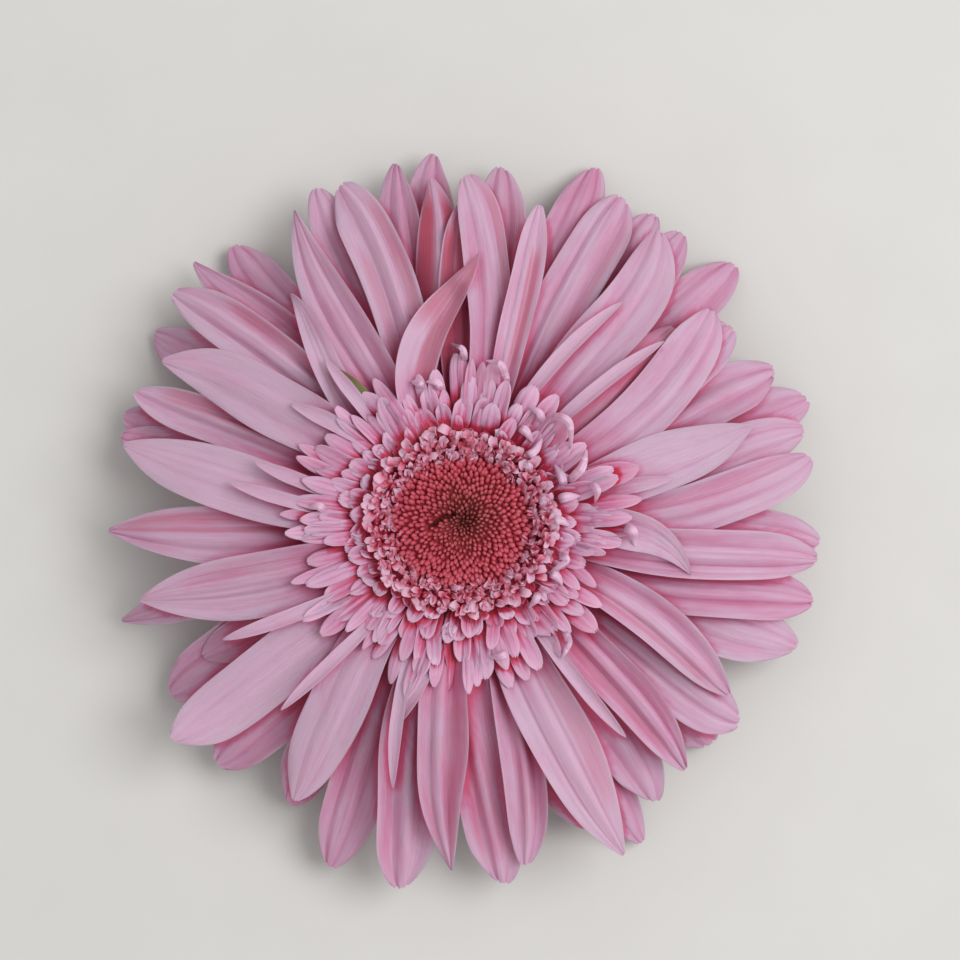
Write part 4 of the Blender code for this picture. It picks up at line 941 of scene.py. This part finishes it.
def build_long(pile, material, rng):
    """Slender florets that lie far out over the petals."""
    bunch = Bunch("trans_long", material, "trans_petal")
    for root, tip, reach, width in LONG_FLORETS:
        path = bent_path(LONG_ROOT, reach, *LONG_ANGLES, rng.uniform(-8, 8), 0.7, 28)
        grid, sides, hollow = floret_grid(
            (root, tip), path, LONG_WIDTH * width, TRANS_COLUMNS, rng,
            cup=0.45, bank=rng.uniform(-25, 25), sharp=0.95, claw=0.5, groove=0.1)
        grid = pile.lay(grid, sides, follow=0.95, give=0.3)
        look = (rng.uniform(0.8, 1.0), 0.0, LONG_WIDTH * width)
        shell(bunch, grid, path[0], sides, TRANS_THIN, look, hollow)


# ---------------------------------------------------------------- disc

DISC_SEED = 5
DISC_RADIUS = 10.0
DISC_TOP = 24.4
DISC_EDGE = 23.4
DIMPLE = 1.9
DIMPLE_RADIUS = 2.2
BED_RADIUS = 13.8
BED_EDGE = 22.4
BED_FOOT = 21.0
BED_DROP = 0.1
BED_RINGS = 46
BED_SECTORS = 120
CRACK = ((-4.6, -0.45), (-4.2, -0.2), (-3.7, 0.15), (-3.2, 0.5), (-2.7, 0.8), (-2.1, 1.05), (-1.5, 1.25))
CRACK_WIDTH = 0.4
CRACK_DEPTH = 1.1
DARKEST = (0.5, 0.8)  # middle of the dark patch
OVAL = 0.06  # share by which the disc is longer along X, and narrower along Y

BUDS = 640
BUDS_STOP_AT = 0.3  # share of the crack from which there are no buds
BUD_CROWDING = 0.58
BUD_SIZE = (0.2, 0.4)
BUD_HEIGHT = (0.55, 1.05)
BUD_LEAN = (6, 34)
BUD_SIDES = 10
BUD_RIDGE = 0.16
BUD_OVAL = 1.3
BUD_SUNK = 0.6
BUD_FOOT = 0.5
BUD_PROFILE = ((0.9, 0.0), (1.1, 0.4), (0.95, 0.72), (0.55, 0.93), (0.15, 1.0))

CURL_SEED = 41
CURL_STATIONS = 9
CURL_COLUMNS = 5
CURL_THIN = (0.08, 0.6, 0.0)
CURL_RELIEF = 0.75
CURL_FOOT = 0.05


def disc_height(radius):
    share = np.minimum(radius / DISC_RADIUS, 1.0)
    dome = DISC_TOP - (DISC_TOP - DISC_EDGE) * share ** 3 - DIMPLE * np.exp(-((radius / DIMPLE_RADIUS) ** 2))
    return dome - (DISC_EDGE - BED_EDGE) * np.maximum(radius - DISC_RADIUS, 0.0) / (BED_RADIUS - DISC_RADIUS)


def crack_share(x, y):
    """1 in the crack that runs beside the middle of the disc, 0 away from it."""
    return max(math.exp(-(math.dist((x, y), point) / CRACK_WIDTH) ** 2) for point in CRACK)


def build_bed(bunch):
    """Surface between the buds, which carries on under the open florets and ends in a flat foot."""
    turns = 2 * math.pi * np.arange(BED_SECTORS) / BED_SECTORS
    flat = [(0.0, 0.0)]
    for ring in range(1, BED_RINGS + 1):
        flat.extend(polar(BED_RADIUS * ring / BED_RINGS, turn) for turn in turns)
    cracks = [crack_share(x, y) for x, y in flat]
    points = [(x, y, float(disc_height(math.hypot(x, y))) - BED_DROP - CRACK_DEPTH * crack)
              for (x, y), crack in zip(flat, cracks)]
    points.extend(polar(BED_RADIUS, turn) + (BED_FOOT,) for turn in turns)
    points = np.array(points)
    faces = [(0, 1 + i, 1 + (i + 1) % BED_SECTORS) for i in range(BED_SECTORS)]
    faces += bands(BED_RINGS + 1, BED_SECTORS, 1, True)
    foot = 1 + BED_RINGS * BED_SECTORS
    faces.append(tuple(foot + i for i in range(BED_SECTORS - 1, -1, -1)))
    leaf = np.zeros_like(points)
    leaf[:, 1] = np.hypot(points[:, 0] - DARKEST[0], points[:, 1] - DARKEST[1]) / DISC_RADIUS
    look = np.zeros_like(points)
    look[:, 0] = 0.5
    look[:len(cracks), 2] = cracks
    bunch.add(points, faces, leaf, look)


def build_disc(material):
    """Closed buds in spirals over a dome."""
    rng = np.random.default_rng(DISC_SEED)
    bunch = Bunch("disc_buds", material, "disc_florets", "disc_florets")
    build_bed(bunch)
    for index in range(BUDS):
        share = ((index + 0.5) / BUDS) ** BUD_CROWDING
        turn = math.radians(GOLDEN_ANGLE * index)
        radius = DISC_RADIUS * share + rng.uniform(-0.08, 0.08)
        radius *= 1.0 + OVAL * share * math.cos(2 * turn)
        if crack_share(*polar(radius, turn)) < BUDS_STOP_AT:
            bud(bunch, radius, turn, share, rng)


def bud(bunch, radius, turn, share, rng):
    """One closed floret: a five-sided knob, longer along the spoke, that leans out of the disc."""
    size = lerp(*BUD_SIZE, share) * rng.uniform(0.85, 1.25)
    tall = lerp(*BUD_HEIGHT, share) * rng.uniform(0.75, 1.25)
    base = np.array(polar(radius, turn) + (float(disc_height(radius)) - BUD_SUNK,))
    lean = math.radians(lerp(*BUD_LEAN, share) + rng.uniform(-16, 16))
    axis = np.array(polar(math.sin(lean), turn + rng.uniform(-0.35, 0.35)) + (math.cos(lean),))
    across_it = unit(np.cross(axis, (math.sin(turn), -math.cos(turn), 0.02)))
    other = np.cross(axis, across_it)
    outward = math.dist(base[:2], DARKEST) / DISC_RADIUS
    points = []
    leaf = []
    for width, up in BUD_PROFILE:
        for k in range(BUD_SIDES):
            angle = 2 * math.pi * k / BUD_SIDES
            ridge = 1.0 - (BUD_RIDGE if k % 2 else 0.0) * up
            ring = across_it * math.cos(angle) * BUD_OVAL + other * math.sin(angle)
            points.append(base + axis * (tall * up + BUD_FOOT) + ring * size * width * ridge)
            leaf.append((up, outward, 0.0))
    points.append(base + axis * (tall * BUD_PROFILE[-2][1] + BUD_FOOT))
    leaf.append((0.85, outward, 0.0))
    faces = [tuple(range(BUD_SIDES - 1, -1, -1))]
    faces += bands(len(BUD_PROFILE), BUD_SIDES)
    last = (len(BUD_PROFILE) - 1) * BUD_SIDES
    faces.extend((last + k, last + (k + 1) % BUD_SIDES, last + BUD_SIDES) for k in range(BUD_SIDES))
    bunch.add(np.array(points), faces, np.array(leaf), np.array((rng.random(), 0.0, 0.0)))


def build_curls(pile, material):
    """Opened disc florets: short curled lobes and threads crowded round the buds."""
    rng = np.random.default_rng(CURL_SEED)
    bunch = Bunch("disc_curls", material, "disc_florets", None, CURL_RELIEF)
    for lobes in LOBES:
        for index in range(lobes.count):
            share = rng.random()
            azimuth = GOLDEN_ANGLE * index + rng.uniform(-8, 8)
            ring = lerp(lobes.inner, lobes.outer, share)
            ring *= 1.0 + OVAL * (1.0 - share) * math.cos(math.radians(2 * azimuth))
            rise, bend = rng.uniform(*lobes.rise), rng.uniform(*lobes.bend)
            lean = rise - rng.uniform(10, 50)
            shares, out, up = bent_path((0.0, 0.0), 1.0, rise, lean, bend, 0.3, CURL_STATIONS)
            scale = rng.uniform(*lobes.length) / np.hypot(np.diff(out), np.diff(up)).sum()
            grid, sides, hollow = floret_grid(
                (0.0, 0.0), (shares, out * scale + CURL_FOOT, up * scale), rng.uniform(*lobes.width),
                CURL_COLUMNS, rng, cup=rng.uniform(0.1, 0.8), sharp=rng.uniform(0.2, 1.0), claw=0.7,
                groove=0.0, bank=rng.uniform(-40, 40))
            turn = math.radians(azimuth + rng.uniform(-lobes.turn, lobes.turn))
            east, north = polar(1.0, turn)
            spin = np.array(((east, -north, 0), (north, east, 0), (0, 0, 1)))
            height = lerp(lobes.low, lobes.high, share) + rng.uniform(-0.3, 0.4)
            grid = grid @ spin.T + np.array(polar(ring, math.radians(azimuth)) + (height,))
            pile.add(grid)
            shell(bunch, grid, shares, sides, CURL_THIN, (rng.random(), 0.0, lobes.rosy), hollow)


# ---------------------------------------------------------------- calyx and receptacle

CALYX_SEED = 61
BRACT_STATIONS = 18
BRACT_COLUMNS = 9
BRACT_THIN = (0.22, 0.75, 0.6)
BRACT_WIDEST_AT = 0.4

# Radius and height along the stub, the cup, the wall of packed floret tubes and the top.
SKIN_OUTLINE = (
    (0.0, 0.0), (2.9, 0.0), (3.5, 0.35), (3.62, 2.2), (3.7, 4.1), (5.0, 5.5), (8.4, 7.5), (11.6, 10.5),
    (13.4, 13.3), (14.0, 14.9), (14.0, 20.7), (13.4, 21.4), (9.6, 21.5), (0.0, 21.5),
)
SKIN_STEP = 0.6
SKIN_SECTORS = 144
RIBS = 12
RIB_DEPTH = 0.1
TUBES = 27
TUBE_DEPTH = 0.34
STUB_FACE_RADIUS = 3.0


def build_calyx(material):
    """Rows of narrow pointed bracts, each row lying on the one inside it."""
    rng = np.random.default_rng(CALYX_SEED)
    bunches = {}
    shares = np.linspace(0.0, 1.0, BRACT_STATIONS)
    sides = across(BRACT_COLUMNS)
    rising = 0.72 + 0.28 * np.sin(shares / BRACT_WIDEST_AT * math.pi / 2)
    past = np.maximum(shares - BRACT_WIDEST_AT, 0.0) / (1.0 - BRACT_WIDEST_AT)
    widths = np.where(shares < BRACT_WIDEST_AT, rising, 0.04 + 0.96 * (1 - past ** 1.6))
    lift = 0.45 * sides ** 2 - 0.12 * bell(sides, 0.0, 0.18)
    for scale in SCALES:
        if scale.piece not in bunches:
            bunches[scale.piece] = Bunch(scale.piece, material, "bract", scale.node)
        for number in range(scale.count):
            azimuth = math.radians(scale.turn + 360.0 * (number + rng.uniform(-0.15, 0.15)) / scale.count)
            tip = (scale.tip[0] + rng.uniform(-0.8, 0.5), scale.tip[1] + rng.uniform(-0.5, 0.7))
            radius = through_three(shares, scale.root[0], scale.middle[0], tip[0])
            height = through_three(shares, scale.root[1], scale.middle[1], tip[1])
            side = np.array((-math.sin(azimuth), math.cos(azimuth), 0.0))
            axis = np.column_stack((*polar(radius, azimuth), height))
            axis += (rng.uniform(-0.8, 0.8) * shares ** 2)[:, None] * side
            upward = unit(np.cross(np.gradient(axis, axis=0), side))
            half = 0.5 * scale.width * widths
            grid = ribbon(axis, np.broadcast_to(side, axis.shape), upward, half, lift, sides)
            shell(bunches[scale.piece], grid, shares, sides, BRACT_THIN, (rng.random(), 0.0, 0.0))


def build_receptacle(material):
    """Cut stub, calyx cup and the wall of packed floret tubes that the rays and florets stand on."""
    bunch = Bunch("receptacle_skin", material, "receptacle", "receptacle")
    outline = []
    for (r0, z0), (r1, z1) in zip(SKIN_OUTLINE, SKIN_OUTLINE[1:]):
        steps = max(2, int(math.hypot(r1 - r0, z1 - z0) / SKIN_STEP))
        outline.extend((lerp(r0, r1, k / steps), lerp(z0, z1, k / steps)) for k in range(steps))
    points = []
    leaf = []
    for radius, height in outline[1:]:
        for sector in range(SKIN_SECTORS):
            turn = 2 * math.pi * sector / SKIN_SECTORS
            ribs = RIB_DEPTH * math.cos(RIBS * turn) * float(smooth(np.array(5.5 - height), 0.0, 2.0))
            tubes = TUBE_DEPTH * (abs(math.sin(TUBES * turn)) - 1.0)
            tubes *= float(smooth(np.array(height), 14.0, 15.5))
            shaped = radius + (ribs + tubes if radius > STUB_FACE_RADIUS else 0.0)
            points.append(polar(shaped, turn) + (height,))
            leaf.append((height, radius, 0.0))
    rows = len(outline) - 1
    faces = bands(rows, SKIN_SECTORS)
    bottom, top = SKIN_OUTLINE[0][1], SKIN_OUTLINE[-1][1]
    points.extend(((0.0, 0.0, bottom), (0.0, 0.0, top)))
    leaf.extend(((bottom, 0.0, 0.0), (top, 0.0, 0.0)))
    low = rows * SKIN_SECTORS
    last = low - SKIN_SECTORS
    faces.extend((low, (k + 1) % SKIN_SECTORS, k) for k in range(SKIN_SECTORS))
    faces.extend((low + 1, last + k, last + (k + 1) % SKIN_SECTORS) for k in range(SKIN_SECTORS))
    bunch.add(np.array(points), faces, np.array(leaf), np.array((0.5, 0.0, 0.0)))


# ---------------------------------------------------------------- materials

SHEEN_ROUGHNESS = 0.5
SCATTER_DEPTH = 0.0012  # in metres, as shaders take it


def linear(value):
    value /= 255.0
    return value / 12.92 if value <= 0.04045 else ((value + 0.055) / 1.055) ** 2.4


def srgb(red, green, blue):
    """Screen colour, 0 to 255, as the linear colour that shaders take."""
    return (linear(red), linear(green), linear(blue), 1.0)


class Nodes:
    """Short names for the nodes of one material. Colours are given as red, green and blue, 0 to 255."""

    def __init__(self, name):
        self.material = bpy.data.materials.new(name)
        self.material.use_nodes = True
        self.tree = self.material.node_tree
        self.shader = self.tree.nodes["Principled BSDF"]

    def new(self, kind, **values):
        node = self.tree.nodes.new(kind)
        for key, value in values.items():
            setattr(node, key, value)
        return node

    def feed(self, socket, value):
        if isinstance(value, bpy.types.NodeSocket):
            self.tree.links.new(value, socket)
        else:
            socket.default_value = srgb(*value) if isinstance(value, tuple) else value

    def made(self, kind, inputs, **values):
        """First output of a new node whose inputs are fed."""
        node = self.new(kind, **values)
        for key, value in inputs.items():
            self.feed(node.inputs[key], value)
        return node.outputs[0]

    def attribute(self, name):
        split = self.new("ShaderNodeSeparateXYZ")
        source = self.new("ShaderNodeAttribute", attribute_name=name)
        self.feed(split.inputs[0], source.outputs["Vector"])
        return tuple(split.outputs)

    def place(self):
        return self.new("ShaderNodeTexCoord").outputs["Object"]

    def math(self, operation, first, second=0.0, clamp=False):
        return self.made("ShaderNodeMath", {0: first, 1: second}, operation=operation, use_clamp=clamp)

    def times(self, first, second):
        return self.math("MULTIPLY", first, second)

    def total(self, first, *others):
        """The sum, kept between 0 and 1 at its end."""
        for other in others:
            first = self.math("ADD", first, other, other is others[-1])
        return first

    def noise(self, vector, scale, detail=2.0, roughness=0.5):
        inputs = {"Vector": vector, "Scale": scale, "Detail": detail, "Roughness": roughness}
        return self.made("ShaderNodeTexNoise", inputs)

    def grain(self, first, second, third, detail=2.0, roughness=0.5):
        """Noise over three values, each given with how many times it is stretched."""
        axes = {"X": self.times(*first), "Y": self.times(*second), "Z": self.times(*third)}
        return self.noise(self.made("ShaderNodeCombineXYZ", axes), 1.0, detail, roughness)

    def ranged(self, value, low, high, to_low=0.0, to_high=1.0):
        inputs = dict(enumerate((value, low, high, to_low, to_high)))
        return self.made("ShaderNodeMapRange", inputs, clamp=True)

    def ramp(self, value, *stops):
        """Colours along a value. Each stop: its place, then red, green and blue."""
        node = self.new("ShaderNodeValToRGB")
        band = node.color_ramp
        while len(band.elements) < len(stops):
            band.elements.new(0.5)
        for element, (place, *colour) in zip(band.elements, stops):
            element.position = place
            element.color = srgb(*colour)
        self.feed(node.inputs[0], value)
        return node.outputs[0]

    def mix(self, share, first, second):
        node = self.new("ShaderNodeMix", data_type="RGBA")
        for index, value in ((0, share), (6, first), (7, second)):
            self.feed(node.inputs[index], value)
        return node.outputs[2]

    def bump(self, height, strength, distance, normal=None):
        inputs = {"Height": height, "Strength": strength, "Distance": distance}
        if normal is not None:
            inputs["Normal"] = normal
        return self.made("ShaderNodeBump", inputs)

    def finish(self, colour, roughness, normal, sheen=0.0, subsurface=0.0, scatter=None, specular=0.3):
        """The material. subsurface: how much light goes through it, scatter: how far, by colour."""
        inputs = self.shader.inputs
        self.feed(inputs["Base Color"], colour)
        self.feed(inputs["Roughness"], roughness)
        self.feed(inputs["Normal"], normal)
        inputs["Specular IOR Level"].default_value = specular
        inputs["Sheen Weight"].default_value = sheen
        inputs["Sheen Roughness"].default_value = SHEEN_ROUGHNESS
        if subsurface:
            inputs["Subsurface Weight"].default_value = subsurface
            inputs["Subsurface Radius"].default_value = scatter
            inputs["Subsurface Scale"].default_value = SCATTER_DEPTH
        return self.material


def petal_material():
    """Dried petal with painted shade: pale lilac pink where it stands high, rose lower down and coral in its
    depths, and rosier in its troughs, creases, steep sides and shade bands.

    The third value of look is the width, so that the grain is as fine on a narrow petal as on a broad one.
    """
    nodes = Nodes("petal")
    along, side, under = nodes.attribute("leaf")
    tone, hollow, width = nodes.attribute("look")
    depth, crease, tilt = nodes.attribute("place")
    edge = nodes.math("ABSOLUTE", side)
    across_it = nodes.times(side, width)
    streaks = nodes.grain((across_it, 1.4), (along, 3.0), (tone, 40.0), 4.0, 0.6)
    veins = nodes.grain((across_it, 5.0), (along, 6.0), (tone, 70.0), 3.0, 0.6)
    patches = nodes.grain((across_it, 0.25), (along, 4.0), (tone, 90.0), 3.0, 0.55)
    # warm: painted shade from the troughs, the depth under the other florets and the steep sides, with the
    # petal's own deeper root, streaks, patches, tone and under face.
    warm = nodes.total(
        nodes.times(hollow, nodes.ranged(streaks, 0.35, 0.65, 0.08, 0.15)),
        nodes.times(nodes.math("POWER", depth, 1.15), nodes.ranged(under, 0.5, 1.0, 0.72, 0.28)),
        nodes.ranged(tilt, 0.08, 0.6, 0.0, 0.18),
        nodes.ranged(along, 0.05, 0.42, 0.42, 0.0),
        nodes.ranged(streaks, 0.3, 0.7, -0.04, 0.07),
        nodes.ranged(patches, 0.35, 0.7, 0.13, -0.11),
        nodes.ranged(tone, 0.35, 0.95, 0.2, -0.12),
        nodes.times(under, 0.1))
    colour = nodes.ramp(
        warm, (0.0, 206, 169, 193), (0.2, 204, 151, 180), (0.42, 200, 123, 157),
        (0.65, 200, 101, 138), (0.85, 200, 86, 123), (1.0, 196, 72, 106))
    # Painted highlight along the thin rims of the edges.
    colour = nodes.mix(nodes.ranged(edge, 0.93, 0.99, 0.0, 0.45), colour, (216, 168, 192))
    colour = nodes.mix(nodes.ranged(veins, 0.4, 0.7, 0.0, 0.18), colour, (172, 104, 138))
    # Painted shade in the crease lines.
    colour = nodes.mix(nodes.ranged(crease, 0.0, 1.0, 0.0, 0.45), colour, (142, 76, 110))
    # Painted shade of the shade bands: dusky rose where the blade would turn away from the light.
    shaded = nodes.times(nodes.ranged(crease, 0.0, -1.0, 0.0, 0.95), nodes.ranged(edge, 0.97, 0.9))
    low = nodes.mix(nodes.ranged(streaks, 0.3, 0.7), (190, 78, 106), (180, 62, 88))
    colour = nodes.mix(shaded, colour, low)
    wrinkles = nodes.grain((across_it, 9.0), (along, 160.0), (tone, 1.0))
    normal = nodes.bump(wrinkles, 0.25, 0.0001, nodes.bump(veins, 0.5, 0.00035))
    roughness = nodes.ranged(veins, 0.3, 0.7, 0.5, 0.66)
    return nodes.finish(colour, roughness, normal, sheen=0.05, subsurface=0.4, scatter=(1.0, 0.5, 0.55))


def floret_material():
    """Trans florets: like the petals, with whiter rolled tips, a coral foot, and painted shade in their
    depths, grooves and steep sides.

    The third value of look is how rosy a floret is, below 0 for a bleached one.
    """
    nodes = Nodes("trans_floret")
    along, side, under = nodes.attribute("leaf")
    tone, hollow, rosy = nodes.attribute("look")
    depth, tilt = nodes.attribute("place")[::2]
    edge = nodes.math("ABSOLUTE", side)
    wander = nodes.grain((along, 2.5), (tone, 50.0), (0.0, 0.0))
    swayed = nodes.math("ADD", edge, nodes.ranged(wander, 0.3, 0.7, -0.12, 0.12))
    line = nodes.ranged(nodes.math("ABSOLUTE", nodes.math("SUBTRACT", swayed, GROOVE_AT)), 0.07, 0.0)
    streaks = nodes.grain((side, 4.5), (along, 2.0), (tone, 60.0), 3.0, 0.6)
    # warm: painted shade from the grooves, the depth under the other florets and the steep sides, with the
    # floret's own coral foot, streaks, rosy pink and tone.
    warm = nodes.total(
        nodes.times(hollow, 0.22),
        nodes.times(depth, 1.25),
        nodes.ranged(along, 0.05, 0.5, 0.6, 0.0),
        nodes.ranged(streaks, 0.3, 0.7, -0.06, 0.14),
        nodes.times(rosy, 0.26),
        nodes.ranged(tilt, 0.1, 0.8, 0.0, 0.26),
        nodes.ranged(tone, 0.0, 1.0, 0.1, -0.08),
        nodes.times(nodes.times(under, nodes.ranged(along, 0.62, 0.8)), -0.25))
    colour = nodes.ramp(
        warm, (0.0, 207, 157, 187), (0.2, 203, 134, 168), (0.42, 200, 102, 139),
        (0.64, 198, 76, 114), (0.84, 195, 58, 90), (1.0, 184, 42, 70))
    # The pale tips and bleached florets are held back where a point lies deep, so the painted shade stays.
    high = nodes.ranged(depth, 0.0, 0.4, 1.0, 0.0)
    bleached = nodes.times(nodes.ranged(rosy, 0.0, -0.3, 0.0, 0.6), high)
    tip = nodes.times(nodes.ranged(along, 0.7, 1.0, 0.0, 0.5), high)
    colour = nodes.mix(nodes.math("MAXIMUM", bleached, tip), colour, (226, 190, 213))
    # Painted highlight along the rims of the edges.
    colour = nodes.mix(nodes.ranged(edge, 0.85, 1.0, 0.0, 0.3), colour, (216, 172, 196))
    # Painted shade in the two grooves, fading out at the tip.
    colour = nodes.mix(nodes.times(line, nodes.ranged(along, 0.97, 0.75, 0.0, 0.4)), colour, (170, 88, 118))
    normal = nodes.bump(streaks, 0.4, 0.0003)
    return nodes.finish(colour, 0.58, normal, sheen=0.05, subsurface=0.4, scatter=(1.0, 0.5, 0.55))


def bud_material():
    """Closed buds, coral at the rim of the disc and dark brown in the middle, each paler at its crown, with
    painted shade at the foot of each bud, on the bed between them and in the crack.

    leaf here is the height in the bud and the distance from the darkest spot. The third value of look is 1
    in the crack.
    """
    nodes = Nodes("disc_bud")
    up, outward = nodes.attribute("leaf")[:2]
    tone, crack = nodes.attribute("look")[::2]
    colour = nodes.ramp(
        outward, (0.0, 78, 26, 22), (0.1, 102, 36, 34), (0.3, 136, 48, 52), (0.55, 162, 52, 64),
        (0.8, 172, 56, 74), (1.0, 176, 62, 82))
    crown = nodes.ramp(
        outward, (0.0, 92, 36, 30), (0.15, 156, 80, 78), (0.4, 192, 92, 98), (0.8, 202, 98, 110),
        (1.0, 204, 114, 128))
    deep = nodes.ramp(outward, (0.0, 70, 20, 16), (0.35, 124, 36, 40), (1.0, 160, 36, 50))
    colour = nodes.mix(nodes.ranged(up, 0.7, 1.0, 0.0, 0.8), colour, crown)
    # Painted shade at the foot of each bud and on the bed between the buds.
    colour = nodes.mix(nodes.ranged(up, 0.35, 0.0, 0.0, 0.7), colour, deep)
    colour = nodes.mix(nodes.ranged(tone, 0.5, 1.0, 0.0, 0.3), colour, (204, 104, 116))
    # Painted shade in the crack.
    colour = nodes.mix(crack, colour, (52, 14, 12))
    normal = nodes.bump(nodes.noise(nodes.place(), 2600.0, 2.0, 0.6), 0.4, 0.0001)
    return nodes.finish(colour, 0.62, normal, subsurface=0.15, scatter=(1.0, 0.3, 0.3), specular=0.15)


def curl_material():
    """Lobes and threads of the open disc florets, pale at their ends and deep pink at the foot, with painted
    shade where they lie deep among the others.
    """
    nodes = Nodes("disc_curl")
    along = nodes.attribute("leaf")[0]
    tone, rosy = nodes.attribute("look")[::2]
    depth = nodes.attribute("place")[0]
    warm = nodes.total(
        nodes.times(depth, 0.8), nodes.ranged(along, 0.1, 0.8, 0.42, 0.0),
        nodes.ranged(tone, 0.0, 1.0, 0.26, -0.16), nodes.times(rosy, 0.8))
    colour = nodes.ramp(
        warm, (0.0, 218, 168, 190), (0.2, 212, 134, 158), (0.42, 200, 94, 118), (0.7, 186, 58, 82),
        (1.0, 168, 34, 56))
    normal = nodes.bump(nodes.noise(nodes.place(), 2200.0, 2.0, 0.6), 0.35, 0.0001)
    return nodes.finish(colour, 0.56, normal, subsurface=0.35, scatter=(1.0, 0.35, 0.35), specular=0.2)


def bract_material():
    """Downy green bracts that dry brown at the point."""
    nodes = Nodes("bract")
    along, side = nodes.attribute("leaf")[:2]
    tone = nodes.attribute("look")[0]
    colour = nodes.ramp(
        along, (0.0, 116, 122, 74), (0.5, 98, 108, 60), (0.85, 112, 104, 64), (1.0, 120, 78, 58))
    streaks = nodes.grain((side, 5.0), (along, 3.0), (tone, 30.0), 3.0, 0.6)
    colour = nodes.mix(nodes.ranged(streaks, 0.4, 0.7, 0.0, 0.5), colour, (140, 148, 98))
    edge = nodes.math("ABSOLUTE", side)
    colour = nodes.mix(nodes.ranged(edge, 0.7, 1.0, 0.0, 0.5), colour, (150, 120, 96))
    down = nodes.noise(nodes.place(), 3200.0, 3.0, 0.7)
    normal = nodes.bump(down, 0.5, 0.00015, nodes.bump(streaks, 0.5, 0.0003))
    return nodes.finish(colour, 0.75, normal, sheen=0.25, subsurface=0.05, scatter=(0.6, 1.0, 0.3))


def receptacle_material():
    """Green cup and stub, with a pale pith on the cut and straw-coloured tubes on the wall.

    leaf here is the height and the radius.
    """
    nodes = Nodes("receptacle_skin")
    height, radius = nodes.attribute("leaf")[:2]
    colour = nodes.ramp(
        nodes.ranged(height, 0.0, 22.0), (0.0, 122, 120, 74), (0.3, 104, 112, 66), (0.62, 128, 118, 76),
        (0.72, 168, 120, 96), (1.0, 150, 60, 66))
    fibres = nodes.noise(nodes.place(), 900.0, 4.0, 0.6)
    colour = nodes.mix(nodes.ranged(fibres, 0.35, 0.7, 0.0, 0.45), colour, (148, 146, 100))
    cut = nodes.times(nodes.ranged(height, 0.5, 0.1), nodes.ranged(radius, 3.5, 3.0))
    pith = nodes.ramp(
        nodes.ranged(radius, 0.0, 3.4), (0.0, 196, 184, 140), (0.6, 176, 166, 116), (1.0, 112, 112, 64))
    colour = nodes.mix(cut, colour, pith)
    return nodes.finish(colour, 0.78, nodes.bump(fibres, 0.5, 0.0003), sheen=0.2)


def floor_material():
    nodes = Nodes("floor")
    place = nodes.place()
    colour = nodes.mix(nodes.noise(place, 60.0, 3.0, 0.5), (205, 203, 200), (211, 209, 206))
    return nodes.finish(colour, 0.85, nodes.bump(nodes.noise(place, 1500.0), 0.05, 0.0002))


# ---------------------------------------------------------------- floor, light and camera

FLOOR_REACH = 1.5
SKY_STRENGTH = 0.6
LIGHT_PLACE = Vector((0.44, 0.09, 0.73))
LIGHT_AIM = Vector((0.0, 0.0, 0.01))
LIGHT_SIZE = 0.6
LIGHT_POWER = 5.0
CAMERA_AIM = Vector((0.0028, 0.0071, 0.012))
CAMERA_DISTANCE = 0.55
CAMERA_ELEVATION = math.radians(87.0)
CAMERA_LENS = 133.0


def turned(direction):
    """Rotation of a lamp or camera that faces along a direction."""
    return direction.to_track_quat("-Z", "Y").to_euler()


def build_floor():
    mesh = bpy.data.meshes.new("floor")
    corners = ((-1, -1), (1, -1), (1, 1), (-1, 1))
    mesh.from_pydata([(FLOOR_REACH * x, FLOOR_REACH * y, 0.0) for x, y in corners], [], [(0, 1, 2, 3)])
    mesh.materials.append(floor_material())
    floor = bpy.data.objects.new("floor", mesh)
    bpy.context.scene.collection.objects.link(floor)


def build_light():
    world = bpy.data.worlds.new("soft")
    world.use_nodes = True
    sky = world.node_tree.nodes["Background"].inputs
    sky["Color"].default_value = (1.0, 1.0, 1.0, 1.0)
    sky["Strength"].default_value = SKY_STRENGTH
    bpy.context.scene.world = world
    data = bpy.data.lights.new("softbox", "AREA")
    data.shape = "DISK"
    data.size = LIGHT_SIZE
    data.energy = LIGHT_POWER
    light = bpy.data.objects.new("softbox", data)
    light.location = LIGHT_PLACE
    light.rotation_euler = turned(LIGHT_AIM - LIGHT_PLACE)
    bpy.context.scene.collection.objects.link(light)


def build_camera():
    data = bpy.data.cameras.new("camera")
    data.sensor_width = 36.0
    data.lens = CAMERA_LENS
    data.clip_start = 0.01
    camera = bpy.data.objects.new("camera", data)
    back = Vector((0.0, -math.cos(CAMERA_ELEVATION), math.sin(CAMERA_ELEVATION)))
    camera.location = CAMERA_AIM + CAMERA_DISTANCE * back
    camera.rotation_euler = turned(-back)
    bpy.context.scene.collection.objects.link(camera)
    bpy.context.scene.camera = camera


def build_flower():
    pile = Pile(0.0)
    build_receptacle(receptacle_material())
    bract = bract_material()
    build_calyx(bract)
    petals = petal_material()
    build_rays(pile, petals)
    build_trans(pile, floret_material(), petals, bract)
    build_disc(bud_material())
    build_curls(pile, curl_material())
    pile.finish()
    for bunch in Bunch.made:
        bunch.piece(pile)


build_flower()
build_floor()
build_light()
build_camera()
bpy.context.scene.view_settings.view_transform = "Standard"
